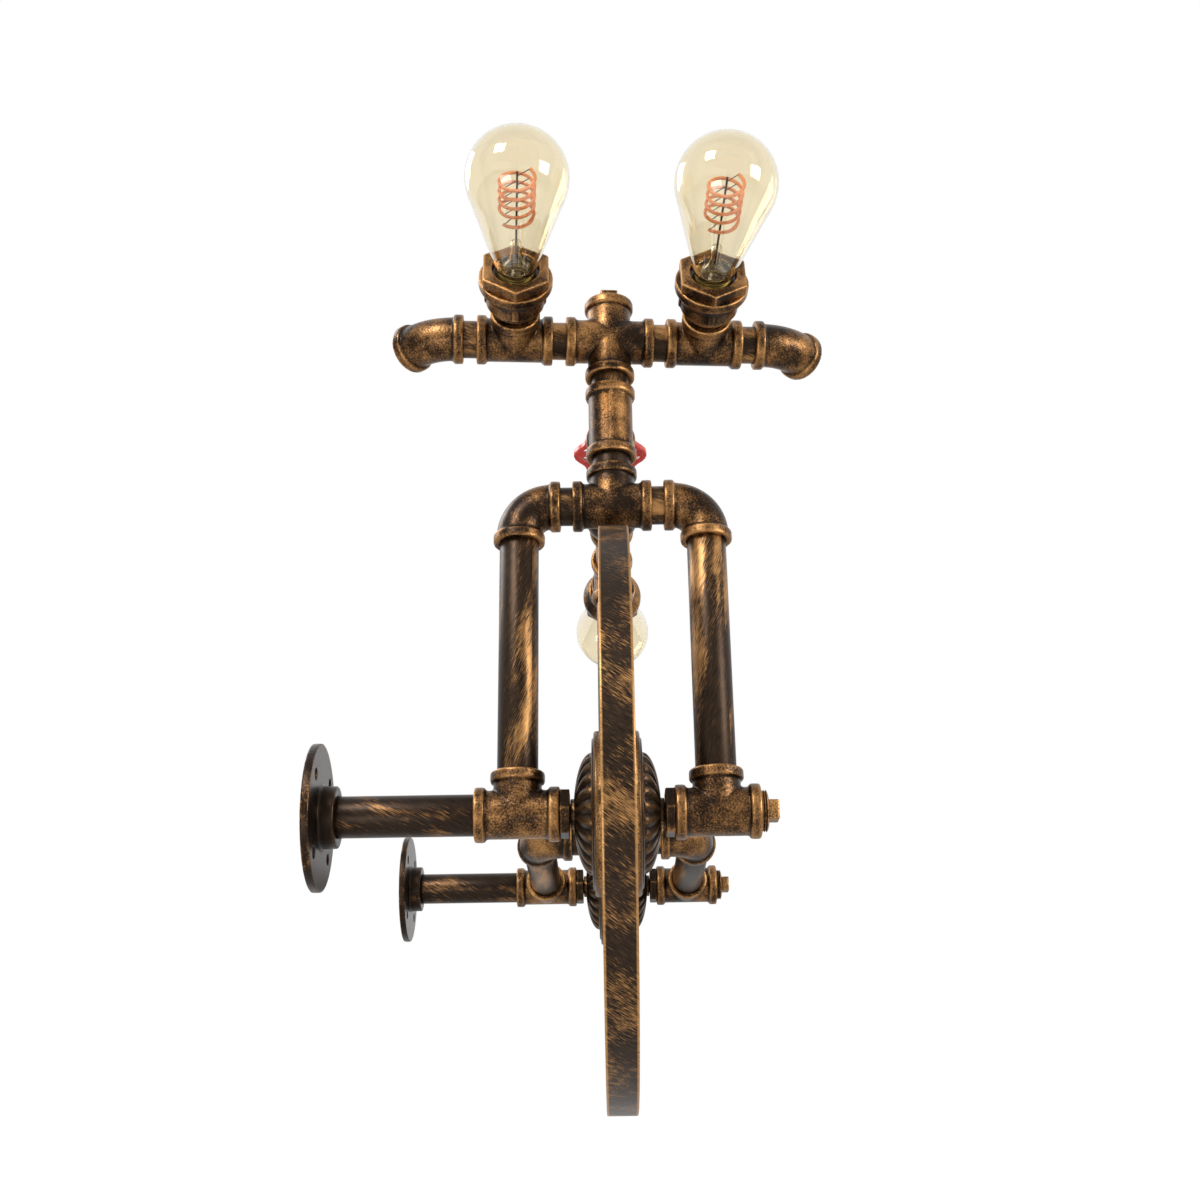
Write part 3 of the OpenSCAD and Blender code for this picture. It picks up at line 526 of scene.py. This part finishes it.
def raise_seam(piece, centre, along, out):
    """Lifts a narrow row of points on the outer face of a casting into a ridge."""
    across = along.cross(out)
    take(piece)
    bpy.ops.object.mode_set(mode="EDIT")
    bpy.ops.mesh.select_all(action="DESELECT")
    bpy.ops.object.mode_set(mode="OBJECT")
    for v in piece.data.vertices:
        arm = v.co - centre
        on_line = abs(arm.dot(across)) < seam_half_mm * MM and abs(arm.dot(along)) < seam_long_mm / 2 * MM
        v.select = on_line and v.normal.dot(out) > seam_facing and arm.dot(out) > 0
    bpy.ops.object.mode_set(mode="EDIT")
    bpy.ops.transform.translate(value=out * seam_high_mm * MM)
    bpy.ops.object.mode_set(mode="OBJECT")
    return sum(v.select for v in piece.data.vertices)


fittings = [n for n in nodes if n.endswith(("_tee", "_elbow", "_end")) or n == "cross"]
skins = {node: cast_skin(node) for node in fittings}
head_middle = front_axle + stem_up * (middle("head_tee") - front_axle).dot(stem_up)
lifted = raise_seam(skins["head_tee"], head_middle, stem_up, -backbone)
print("cast fittings", len(fittings), "and a seam of", lifted, "points")

# %% [markdown]
# The brush streaks follow a map that is wrapped round the pipe like paper: U is the arc round its axis and V
# the length along it, both in metres. One could unwrap each pipe along a seam, but here each corner takes its
# place from its own angle, so no seam has to be drawn, and a pattern has the same size on every pipe.

# %% Wrapped maps
# A face whose normal lies along the axis is an end, and V runs outwards on it
end_facing = 0.9


def wrap_map(piece, centre, axis, lead):
    """UV map in metres: U is the arc round an axis, V the distance along it. lead shifts the pattern."""
    axis = axis.normalized()
    side = axis.orthogonal().normalized()
    front = axis.cross(side)
    layer = piece.data.uv_layers[0] if piece.data.uv_layers else piece.data.uv_layers.new(name="wrap")
    for face in piece.data.polygons:
        arm = face.center - centre
        base = math.atan2(arm.dot(front), arm.dot(side))
        flat = abs(face.normal.dot(axis)) > end_facing
        for loop in face.loop_indices:
            reach = piece.data.vertices[piece.data.loops[loop].vertex_index].co - centre
            along = reach.dot(axis)
            out = reach - along * axis
            # A corner's angle is taken within half a turn of its face's, so that no face is torn
            angle = math.atan2(out.dot(front), out.dot(side))
            angle = base + (angle - base + math.pi) % (2 * math.pi) - math.pi
            layer.data[loop].uv = (angle * out.length + lead, along + (out.length if flat else 0) + lead)


pipe_low, pipe_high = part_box("front_wall_pipe")
print("the map of a wall pipe is", round(math.pi * (pipe_high.x - pipe_low.x) / MM, 1), "mm round")

# %% [markdown]
# Pipes are drawn tube, so they stay exact: the copy is only given a fine chamfer, smooth shading and its
# wrapped map. One node can hold several nipples, so the copy is taken apart first, and each nipple is wrapped
# round its own axis.

# %% Pipes
sharp_angle, shading_angle = math.radians(40), math.radians(35)
# Shifts of the streaks, in metres, so that no two nipples and no two pipes look alike
nipple_step, pattern_step = 0.061, 0.173


def chamfered_copy(node, chamfer_mm):
    """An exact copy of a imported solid, whose sharp edges get a chamfer that catches the light."""
    piece = merged_copy(node, node + "_skin")
    apply_modifier(piece, "BEVEL", width=chamfer_mm * MM, segments=2, limit_method="ANGLE",
                   angle_limit=sharp_angle)
    take(piece)
    bpy.ops.object.shade_smooth_by_angle(angle=shading_angle)
    return piece


def box_middle(piece):
    """Middle of a piece's box, which lies on the axis of a plain tube however it is turned."""
    corners = [Vector(corner) for corner in piece.bound_box]
    return sum(corners, Vector()) / len(corners)


def surface_middle(node):
    """Middle of a solid's surface, which lies on the axis of a round solid however it is meshed."""
    faces = nodes[node].data.polygons
    return sum((f.center * f.area for f in faces), Vector()) / sum(f.area for f in faces)


def joined(pieces, name):
    deselect()
    for piece in pieces:
        piece.select_set(True)
    bpy.context.view_layer.objects.active = pieces[0]
    bpy.ops.object.join()
    pieces[0].name = name
    return pieces[0]


def tube_skin(node, axis, material, lead, chamfer_mm=0.5):
    """Exact skins for the tubes of one node, each wrapped in its own map."""
    take(chamfered_copy(node, chamfer_mm))
    bpy.ops.mesh.separate(type="LOOSE")
    single = sorted(bpy.context.selected_objects, key=lambda tube: tube.name)
    for place, tube in enumerate(single):
        wrap_map(tube, box_middle(tube), axis, lead + nipple_step * place)
    return finish_piece(joined(single, node + "_skin"), material, node)


# The two ends of the bar mirror each other, so the line between their middles runs along it
bar_along = (surface_middle("bar_inner_end") - surface_middle("bar_outer_end")).normalized()
pipe_axes = {
    "front_wall_pipe": WALL, "rear_wall_pipe": WALL, "crown_nipples": WALL, "bar_nipples": bar_along,
    "front_inner_leg": stem_up, "front_outer_leg": stem_up, "seat_tube": stem_up, "stem_nipples": stem_up,
    "rear_inner_leg": backbone, "rear_outer_leg": backbone,
    "backbone_front_pipe": backbone, "backbone_rear_pipe": backbone,
}
thin_coat = ("front_wall_pipe", "rear_wall_pipe")
for place, (node, axis) in enumerate(pipe_axes.items()):
    skin = tube_skin(node, axis, dark_pipe if node in thin_coat else brushed_pipe, pattern_step * place)
print("pipes", len(pipe_axes), "last has", len(skin.data.polygons), "faces")

# %% [markdown]
# The hoops are flat iron bar, rolled into a ring. A section of the bar is drawn beside the axle, with soft
# corners and points close to them, and spun round it. The points at the corners carry a mark called edge, so
# the finish can lay a bright line of bronze along them. The flat spokes of a wheel stay exact, as pipes do.

# %% Hoops
hoop_corner_mm, corner_segments, corner_slack = 0.8, 3, 1.05
hoop_edge_mm, hoop_steps = 1.6, 240
spin_weld_mm = 0.01


def bar_section(name, axle, inner, outer, width):
    """Draws the outline of the bar beside its axle, and leaves it in edit mode."""
    deselect()
    bpy.ops.mesh.primitive_plane_add(size=1, location=(0, 0, 0))
    piece = bpy.context.object
    piece.name = name
    bpy.ops.object.mode_set(mode="EDIT")
    bpy.ops.transform.resize(value=(outer - inner, width, 1))
    bpy.ops.transform.translate(value=((outer + inner) / 2 + axle.x, axle.y, axle.z))
    bpy.ops.mesh.bevel(offset=hoop_corner_mm * MM, segments=corner_segments, affect="VERTICES")
    bpy.ops.mesh.select_all(action="SELECT")
    bpy.ops.mesh.delete(type="ONLY_FACE")
    edge = hoop_edge_mm * MM
    for place, normal in (
        ((axle.x, axle.y + width / 2 - edge, axle.z), (0, 1, 0)),
        ((axle.x, axle.y - width / 2 + edge, axle.z), (0, 1, 0)),
        ((axle.x + outer - edge, axle.y, axle.z), (1, 0, 0)),
        ((axle.x + inner + edge, axle.y, axle.z), (1, 0, 0)),
    ):
        bpy.ops.mesh.select_all(action="SELECT")
        bpy.ops.mesh.bisect(plane_co=place, plane_no=normal)
    return piece


def hoop(node, axle):
    """A rolled hoop, which stands for a packed rim."""
    low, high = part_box(node)
    outer, width = (high.x - low.x) / 2, high.y - low.y
    inner = min(math.hypot(v.co.x - axle.x, v.co.z - axle.z) for v in nodes[node].data.vertices)
    piece = bar_section(node + "_skin", axle, inner, outer, width)
    bpy.ops.mesh.select_all(action="SELECT")
    bpy.ops.mesh.spin(steps=hoop_steps, angle=2 * math.pi, center=axle, axis=WALL)
    bpy.ops.mesh.select_all(action="SELECT")
    bpy.ops.mesh.remove_doubles(threshold=spin_weld_mm * MM)
    bpy.ops.mesh.normals_make_consistent(inside=False)
    bpy.ops.object.mode_set(mode="OBJECT")
    bpy.ops.object.shade_smooth()
    edge = piece.data.attributes.new("edge", "FLOAT", "POINT")
    for v in piece.data.vertices:
        across = width / 2 - abs(v.co.y - axle.y)
        reach = math.hypot(v.co.x - axle.x, v.co.z - axle.z)
        deep = min(reach - inner, outer - reach)
        corner = max(across, deep) < corner_slack * hoop_corner_mm * MM
        edge.data[v.index].value = 1.0 if corner else 0.0
    wrap_map(piece, axle, WALL, lead=0.0)
    return finish_piece(piece, scratched_hoop, node)


for node, axle in (("front_rim", front_axle), ("rear_rim", rear_axle)):
    ring = hoop(node, axle)
for node in ("front_spokes", "rear_spokes"):
    tube_skin(node, WALL, scratched_hoop, lead=0.0, chamfer_mm=0.6)
print("hoops", len(ring.data.polygons), "faces each")

# %% [markdown]
# Turned and spun pieces. Glass bulbs, caps, plugs and pressed covers are all round, so one helper makes them
# as a lathe would: a circle is extruded ring by ring through a list of radii and heights, and a ring of no
# radius closes it. The foot of a solid piece is filled, and a shell's stays open until its wall is made.
# The piece is made upright at the origin and then laid on its own axis.

# %% Lathe
lathe_angle = math.radians(50)


def turned(name, rings_mm, sides, foot="NOTHING"):
    """rings_mm is a list of (radius, height) pairs, from the foot to the top. NGON as foot fills it."""
    deselect()
    bpy.ops.mesh.primitive_circle_add(vertices=sides, radius=rings_mm[0][0] * MM, fill_type=foot)
    piece = bpy.context.object
    piece.name = name
    bpy.ops.object.mode_set(mode="EDIT")
    bpy.ops.mesh.select_all(action="SELECT")
    bpy.ops.transform.translate(value=(0, 0, rings_mm[0][1] * MM))
    for (r0, h0), (r1, h1) in zip(rings_mm, rings_mm[1:]):
        bpy.ops.mesh.extrude_edges_move()
        if r1 > 0:
            bpy.ops.transform.resize(value=(r1 / r0, r1 / r0, 1), center_override=(0, 0, 0))
        bpy.ops.transform.translate(value=(0, 0, (h1 - h0) * MM))
        if r1 == 0:
            bpy.ops.mesh.merge(type="CENTER")
    bpy.ops.mesh.select_all(action="SELECT")
    bpy.ops.mesh.normals_make_consistent(inside=False)
    bpy.ops.object.mode_set(mode="OBJECT")
    bpy.ops.object.shade_smooth_by_angle(angle=lathe_angle)
    return piece


def laid_copy(piece, name, place, axis, upright=None):
    """A copy with its own mesh, whose foot is at place and whose height runs along axis."""
    out = axis.normalized()
    side = (upright or out.orthogonal()).cross(out).normalized()
    copy = piece.copy()
    copy.data = piece.data.copy()
    copy.name = name
    bpy.context.scene.collection.objects.link(copy)
    turn = Matrix((side, out.cross(side), out)).transposed().to_4x4()
    copy.matrix_world = Matrix.Translation(place) @ turn
    take(copy)
    bpy.ops.object.transform_apply(location=True, rotation=True, scale=True)
    return copy


def arc_angles(start_deg, end_deg, steps):
    """Even angles along an arc, in radians, with both of its ends."""
    return [math.radians(start_deg + (end_deg - start_deg) * i / steps) for i in range(steps + 1)]


print("a quarter turn in four steps, in degrees", [round(math.degrees(a), 1) for a in arc_angles(0, 90, 4)])

# %% [markdown]
# Hub covers are pressed sheet: a rounded edge band, a flat lip with two beads, and a dome with round ribs
# that run in to the hub. The dome is turned smooth, and each point is then pressed in along its normal by how
# far it lies from the crest of its rib. The crests are marked as edges, because bronze is rubbed on there.

# %% Hub covers
# Pressed sheet, sprayed black: the rag touches only the crests and the band, and the rest stays dark
pressed_cover = bronzed_iron("pressed_hub_cover", rub_mm=30.0, grain_mm=1.0, cover=0.16)
rib_count, rib_points = 24, 10
rib_depth_mm, rib_start_mm = 2.0, 1.5
crest_mark, crest_power, band_mark, band_mm = 0.55, 3, 0.3, 2.0
cover_edge_mm, cover_round_mm, cover_lip_mm = 5.0, 1.6, 13.0
cover_step_mm, bead_mm, sheet_mm, hub_hole_mm = 1.5, 1.2, 1.4, 9.3
round_steps, bead_steps, dome_steps, dome_gap_mm = 4, 6, 20, 0.2


def cover_profile(radius, dome_r, dome_h, rise):
    """Rings of the sheet's outer face, in millimetres, from the foot of its edge band to the hub."""
    rings = [(radius, 0)]
    round_r, round_h = radius - cover_round_mm, cover_edge_mm - cover_round_mm
    rings += [(round_r + cover_round_mm * math.cos(a), round_h + cover_round_mm * math.sin(a))
              for a in arc_angles(0, 90, round_steps)]
    # The two beads part the flat lip into thirds
    for share in (2 / 3, 1 / 3):
        bead_r = dome_r + share * (cover_lip_mm - cover_round_mm)
        rings += [(bead_r + bead_mm * math.cos(a), cover_edge_mm + bead_mm * math.sin(a))
                  for a in arc_angles(0, 180, bead_steps)]
    rings += [(dome_r + dome_gap_mm, cover_edge_mm)]
    last = math.degrees(math.acos(hub_hole_mm / dome_r))
    rings += [(dome_r * math.cos(a), dome_h + (rise - dome_h) * math.sin(a) / math.sin(math.radians(last)))
              for a in arc_angles(0, last, dome_steps)]
    return rings


def hub_cover(covers, rim_wide):
    """One pressed cover, upright at the origin, with its ribs and its wall."""
    low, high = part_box(covers)
    radius = (high.x - low.x) / 2 / MM
    rise = ((high.y - low.y) - rim_wide) / 2 / MM
    dome_r, dome_h = radius - cover_lip_mm, cover_edge_mm + cover_step_mm
    piece = turned("hub_cover", cover_profile(radius, dome_r, dome_h, rise), rib_count * rib_points)
    edge = piece.data.attributes.new("edge", "FLOAT", "POINT")
    pressed = []
    for v in piece.data.vertices:
        reach = math.hypot(v.co.x, v.co.y) / MM
        # 1 on the round crest of a rib and 0 in the sharp valley between two
        crest = abs(math.cos(rib_count / 2 * math.atan2(v.co.y, v.co.x)))
        if reach < dome_r and v.co.z > dome_h * MM:
            fade = min(1, (v.co.z / MM - dome_h) / rib_start_mm) * reach / dome_r
            pressed.append((v, v.normal * (rib_depth_mm * MM * (crest - 1) * fade)))
            edge.data[v.index].value = crest_mark * crest ** crest_power
        elif v.co.z > (cover_edge_mm - cover_round_mm / 2) * MM and reach > radius - band_mm:
            edge.data[v.index].value = band_mark
    for v, move in pressed:
        v.co += move
    apply_modifier(piece, "SOLIDIFY", thickness=sheet_mm * MM, offset=-1)
    return piece


for wheel, axle in (("front", front_axle), ("rear", rear_axle)):
    covers = wheel + "_hub_covers"
    rim_low, rim_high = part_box(wheel + "_rim")
    rim_wide = rim_high.y - rim_low.y
    cover = hub_cover(covers, rim_wide)
    sides = [laid_copy(cover, covers + "_side", axle + out * (rim_wide / 2), out) for out in (WALL, -WALL)]
    discard(cover)
    pair = finish_piece(joined(sides, covers + "_skin"), pressed_cover, covers)
print("covers", len(pair.data.polygons), "faces a pair")

# %% [markdown]
# End plugs. The photograph shows a few bare turns of thread between each outer tee and the square head, so
# the plug is turned with a ring for each turn, and the head is a block with rounded edges.

# %% Threaded plugs
plug_proud_mm, plug_sunk_mm, plug_r_mm = 4.0, 6.0, 12.7
plug_head_mm, plug_head_w_mm, plug_round_mm = 7.0, 12.0, 0.9
plug_end_mm, plug_taper_mm = 0.5, 1.6
thread_pitch_mm, thread_deep_mm = 1.3, 0.9
crest_parts = (0.4, 0.6)
thread_sides = 64


def threaded_plug():
    """One plug, upright at the origin, with its thread and its square head."""
    turns = round(plug_proud_mm / thread_pitch_mm)
    pitch = plug_proud_mm / turns
    root_r, top = plug_r_mm - thread_deep_mm, plug_proud_mm + plug_end_mm
    rings = [(root_r, -plug_sunk_mm)]
    for i in range(turns):
        rings += [(root_r, i * pitch)]
        rings += [(plug_r_mm, (i + part) * pitch) for part in crest_parts]
    rings += [(root_r, plug_proud_mm), (root_r - plug_taper_mm, top), (0, top)]
    body = turned("plug_body", rings, thread_sides, foot="NGON")
    deselect()
    bpy.ops.mesh.primitive_cube_add(size=1)
    head = bpy.context.object
    bpy.ops.object.mode_set(mode="EDIT")
    bpy.ops.transform.resize(value=(plug_head_w_mm * MM, plug_head_w_mm * MM, plug_head_mm * MM))
    bpy.ops.transform.translate(value=(0, 0, (plug_proud_mm + plug_head_mm / 2) * MM))
    bpy.ops.mesh.bevel(offset=plug_round_mm * MM, segments=3)
    bpy.ops.object.mode_set(mode="OBJECT")
    bpy.ops.object.shade_smooth_by_angle(angle=shading_angle)
    return joined([body, head], "plug")


plug = threaded_plug()
plug_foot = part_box("end_plugs")[0].y + (plug_proud_mm + plug_head_mm) * MM
plugs = [laid_copy(plug, "end_plug", Vector((axle.x, plug_foot, axle.z)), -WALL, stem_up)
         for axle in (front_axle, rear_axle)]
discard(plug)
finish_piece(joined(plugs, "end_plugs_skin"), cast_iron, "end_plugs")
print("plugs", len(plugs), "with heads of", plug_head_w_mm, "mm")

# %% [markdown]
# The other cast pieces are the wall flanges, the bell-shaped sockets with their hexagons, the valve, the
# bushes and the handwheel. Most get a finer skin than the fittings, because their corners are sharper. The
# handwheel wears thick enamel, so it is smoothed more.

# %% Flanges, bells and valve
# Flanges: black plate with hardly any paste, so that only the boss and a few grains show bronze
flange_iron = bronzed_iron("flange_iron", rub_mm=18.0, grain_mm=1.1, cover=0.2, worn=0.3)
for node in ("front_flange", "rear_flange"):
    cast_skin(node, passes=3, material=flange_iron)
# Bells and hexagons: handled most, so rubbed nearly all over
bell_iron = bronzed_iron("bell_iron", rub_mm=20.0, grain_mm=1.0, cover=0.85)
for node in ("inner_bell", "outer_bell", "tail_bell", "lamp_hexes"):
    cast_skin(node, voxel_mm=0.7, material=bell_iron)
for node in ("valve_body", "valve_bonnet", "cross_plug"):
    cast_skin(node, voxel_mm=0.7)
cast_skin("lamp_nipples", voxel_mm=1.0)
# Bushes: dark hexagons with rubbed corners
bush_iron = bronzed_iron("bush_iron", rub_mm=18.0, grain_mm=1.1, cover=0.3)
cast_skin("axle_bushes", voxel_mm=0.65, material=bush_iron)
handwheel = cast_skin("handwheel", voxel_mm=0.45, passes=10, material=red_enamel)
print("handwheel", len(handwheel.data.polygons), "faces")

# %% [markdown]
# Bulbs. Each lamp has its own axis, through the middles of its bell and its glass. The points of the packed
# solids are measured round that axis, so that what is turned here has their sizes.

# %% Lamp axes and sizes
def lamp_reach(node, foot, axis, near_mm=45.0, far_mm=200.0):
    """(radius, height) in millimetres of each point of a solid near a lamp's axis."""
    found = []
    for v in nodes[node].data.vertices:
        arm = v.co - foot
        height = arm.dot(axis)
        radius = (arm - height * axis).length
        if radius < near_mm * MM and abs(height) < far_mm * MM:
            found.append((radius / MM, height / MM))
    return found


lamps = {}
for lamp in ("inner", "outer", "tail"):
    bell_middle = surface_middle(lamp + "_bell")
    axis = (surface_middle(lamp + "_bulb") - bell_middle).normalized()
    foot_mm = min(h for r, h in lamp_reach(lamp + "_bulb", bell_middle, axis))
    lamps[lamp] = (bell_middle + foot_mm * MM * axis, axis)
lamp_foot, lamp_axis = lamps["inner"]
glass_points = lamp_reach("inner_bulb", lamp_foot, lamp_axis)
bulb_r = max(r for r, h in glass_points)
bulb_mid = max(h for r, h in glass_points) - bulb_r
foot_band_mm, neck_flare_mm = 0.5, 2.0
foot_r = max(r for r, h in glass_points if h < foot_band_mm)
neck_r = foot_r + neck_flare_mm
print("bulb", round(2 * bulb_r, 1), "mm wide, neck", round(2 * neck_r, 1), "mm")

# %% [markdown]
# The glass is a round end with a straight taper to a wide neck, which rounds in under its foot, so it is
# turned from two arcs and a line and given its wall by Solidify. The taper touches the round end, and the
# angle of that touch follows from the two radii and the height between them. One bulb is made and copied.

# %% Bulb glass
shoulder_mm, glass_mm, bulb_sides = 3.0, 1.0, 96
shoulder_steps, taper_steps, crown_steps, crown_end_deg = 4, 12, 28, 88
taper_high = bulb_mid - shoulder_mm
touch = math.acos(bulb_r / math.hypot(neck_r, taper_high)) - math.atan2(taper_high, neck_r)
side_r, side_h = bulb_r * math.cos(touch), bulb_mid + bulb_r * math.sin(touch)
bulb_rings = [(foot_r + neck_flare_mm * math.sin(a), shoulder_mm * (1 - math.cos(a)))
              for a in arc_angles(0, 90, shoulder_steps)]
for step in range(1, taper_steps):
    share = step / taper_steps
    bulb_rings += [(neck_r + (side_r - neck_r) * share, shoulder_mm + (side_h - shoulder_mm) * share)]
bulb_rings += [(bulb_r * math.cos(a), bulb_mid + bulb_r * math.sin(a))
               for a in arc_angles(math.degrees(touch), crown_end_deg, crown_steps)]
bulb_rings += [(0, bulb_mid + bulb_r)]
bulb = turned("bulb", bulb_rings, bulb_sides)
apply_modifier(bulb, "SOLIDIFY", thickness=glass_mm * MM, offset=-1)
take(bulb)
bpy.ops.object.shade_smooth()
for lamp, (foot, axis) in lamps.items():
    finish_piece(laid_copy(bulb, lamp + "_bulb_glass", foot, axis), amber_glass, lamp + "_bulb")
discard(bulb)
print("bulbs", len(lamps), "with a taper that touches at", round(math.degrees(touch), 1), "degrees")

# %% [markdown]
# Inside each bulb: a glass stem, drawn from thin tube, flared at its foot and pinched at its top, and a wire
# post with thin supports. The stem could be one lump of glass, but its foot would then shine like a lens, so
# it gets a thin wall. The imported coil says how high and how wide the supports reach.

# %% Stems and posts
stem_rings = [(9.5, 0.4), (8.2, 2.5), (5.2, 6), (3.8, 11), (3.4, 16), (4.0, 20), (3.0, 23.2), (0, 24)]
stem_wall_mm, stem_sides = 0.7, 48
stem = turned("stem", stem_rings, stem_sides)
apply_modifier(stem, "SUBSURF", levels=1, render_levels=1)
apply_modifier(stem, "SOLIDIFY", thickness=stem_wall_mm * MM, offset=-1)

coil_points = lamp_reach("filaments", lamp_foot, lamp_axis)
coil_turns, coil_inset_mm = 4.5, 0.9
coil_r = (min(r for r, h in coil_points) + max(r for r, h in coil_points)) / 2
coil_low = min(h for r, h in coil_points) + coil_inset_mm
coil_high = max(h for r, h in coil_points) - coil_inset_mm
coil_rise = coil_high - coil_low

# The post ends in a small bead above the coil, and each support is thicker where it holds the coil
post_foot_mm, post_r_mm, post_sides = 8.0, 0.7, 12
tip_from_mm, tip_wide_mm, tip_end_mm, tip_swell_mm = 2.0, 3.0, 3.4, 0.2
post_rings = [(post_r_mm, post_foot_mm), (post_r_mm, coil_high + tip_from_mm),
              (post_r_mm + tip_swell_mm, coil_high + tip_wide_mm), (0, coil_high + tip_end_mm)]
post = turned("post", post_rings, post_sides, foot="NGON")
wire_r_mm, wire_sides, hold_mm, hold_swell, wire_end_mm = 0.3, 8, 2.0, 1.5, 0.2
wire_rings = [(wire_r_mm, 0), (wire_r_mm, coil_r - hold_mm), (hold_swell * wire_r_mm, coil_r),
              (0, coil_r + wire_end_mm)]
wire = turned("wire", wire_rings, wire_sides, foot="NGON")
support_count = int(2 * coil_turns) + 1
supports = []
for k in range(support_count):
    height_mm = coil_low + coil_rise * k / (support_count - 1)
    way = Vector((1 if k % 2 == 0 else -1, 0, 0))
    supports.append(laid_copy(wire, "support", Vector((0, 0, height_mm * MM)), way))
discard(wire)
post = joined([post] + supports, "post")
print("supports on each post", len(supports))

# %% [markdown]
# The filament is a soft strip, wound into a coil. A curve could be bevelled along a helix, but the Screw
# modifier does it in one go: it sweeps one small circle up and round, and the two ends are then filled.

# %% Filaments
strip_mm, strip_sides, steps_a_turn = 2.2, 12, 40
coil_steps = int(steps_a_turn * coil_turns)
deselect()
bpy.ops.mesh.primitive_circle_add(vertices=strip_sides, radius=strip_mm / 2 * MM,
                                  rotation=(math.pi / 2, 0, 0), location=(coil_r * MM, 0, coil_low * MM))
coil = bpy.context.object
bpy.ops.object.transform_apply(location=True, rotation=True, scale=True)
apply_modifier(coil, "SCREW", axis="Z", angle=2 * math.pi * coil_turns, screw_offset=coil_rise * MM,
               steps=coil_steps, render_steps=coil_steps)
take(coil)
bpy.ops.object.mode_set(mode="EDIT")
bpy.ops.mesh.select_all(action="SELECT")
bpy.ops.mesh.fill_holes(sides=0)
bpy.ops.mesh.select_all(action="SELECT")
bpy.ops.mesh.normals_make_consistent(inside=False)
bpy.ops.object.mode_set(mode="OBJECT")
bpy.ops.object.shade_smooth()
print("coil of", coil_turns, "turns,", round(2 * coil_r, 1), "mm across")

# %% [markdown]
# Stem, coil and post were each made once, upright at the origin. Now a copy of each is laid in every bulb,
# and the copies of a kind are joined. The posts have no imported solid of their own, so they replace none.

# %% Insides of the bulbs
def on_each_lamp(part, name):
    """Lays a copy of a part on every lamp, and joins the copies into one piece."""
    copies = [laid_copy(part, name, foot, axis) for foot, axis in lamps.values()]
    discard(part)
    return joined(copies, name)


finish_piece(on_each_lamp(stem, "bulb_stems_glass"), clear_glass, "bulb_stems")
finish_piece(on_each_lamp(coil, "filaments_coil"), coated_filament, "filaments")
posts = on_each_lamp(post, "filament_posts")
posts.data.materials.append(dark_steel)
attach(posts, "frame")
print("posts", len(posts.data.polygons), "faces on", len(lamps), "lamps")

# %% [markdown]
# Screw caps. The brass cap is a rolled thread, hollow inside, so the neck of the bulb looks dark. Seen from
# the mouth of the hexagon only its top ring shows.

# %% Screw caps
cap_points = lamp_reach("bulb_caps", lamp_foot, lamp_axis)
cap_r, cap_foot = max(r for r, h in cap_points), min(h for r, h in cap_points)
cap_thread_mm, cap_wave_mm, cap_wall_mm, steps_a_thread = 3.6, 0.6, 0.5, 8
thread_from_mm, thread_off_mm, cap_lip_mm, lip_in_mm = 3.0, 2.0, 0.6, 0.4
wave_step_mm = cap_thread_mm / steps_a_thread
wave_count = int((-cap_foot - thread_from_mm - thread_off_mm) / wave_step_mm) + 1
cap_waves = [cap_foot + thread_from_mm + i * wave_step_mm for i in range(wave_count)]
# The contact at the foot, the cone above it, the thread and the lip
cap_rings = [(3, cap_foot), (5, cap_foot + 0.6), (cap_r - 3, cap_foot + 2)]
cap_rings += [(cap_r - cap_wave_mm * (1 - math.cos(2 * math.pi * h / cap_thread_mm)), h) for h in cap_waves]
cap_rings += [(cap_r, -cap_lip_mm), (cap_r - lip_in_mm, 0)]
cap = turned("cap", cap_rings, thread_sides)
apply_modifier(cap, "SOLIDIFY", thickness=cap_wall_mm * MM, offset=-1)
finish_piece(on_each_lamp(cap, "bulb_caps_thread"), aged_brass, "bulb_caps")
print("caps", len(lamps), "of", round(2 * cap_r, 1), "mm")

# %% [markdown]
# Axles, spindle, nut and lampholders are machined or moulded, so they stay exact, with a small chamfer as on
# the pipes.

# %% Machined pieces
machined = {"front_axle": dark_steel, "rear_axle": dark_steel, "spindle": aged_brass,
            "handwheel_nut": aged_brass, "lampholders": bakelite}
for node, finish in machined.items():
    finish_piece(chamfered_copy(node, chamfer_mm=0.4), finish, node)
print("packed solids without a skin", [name for name, node in nodes.items() if not node.hide_render])
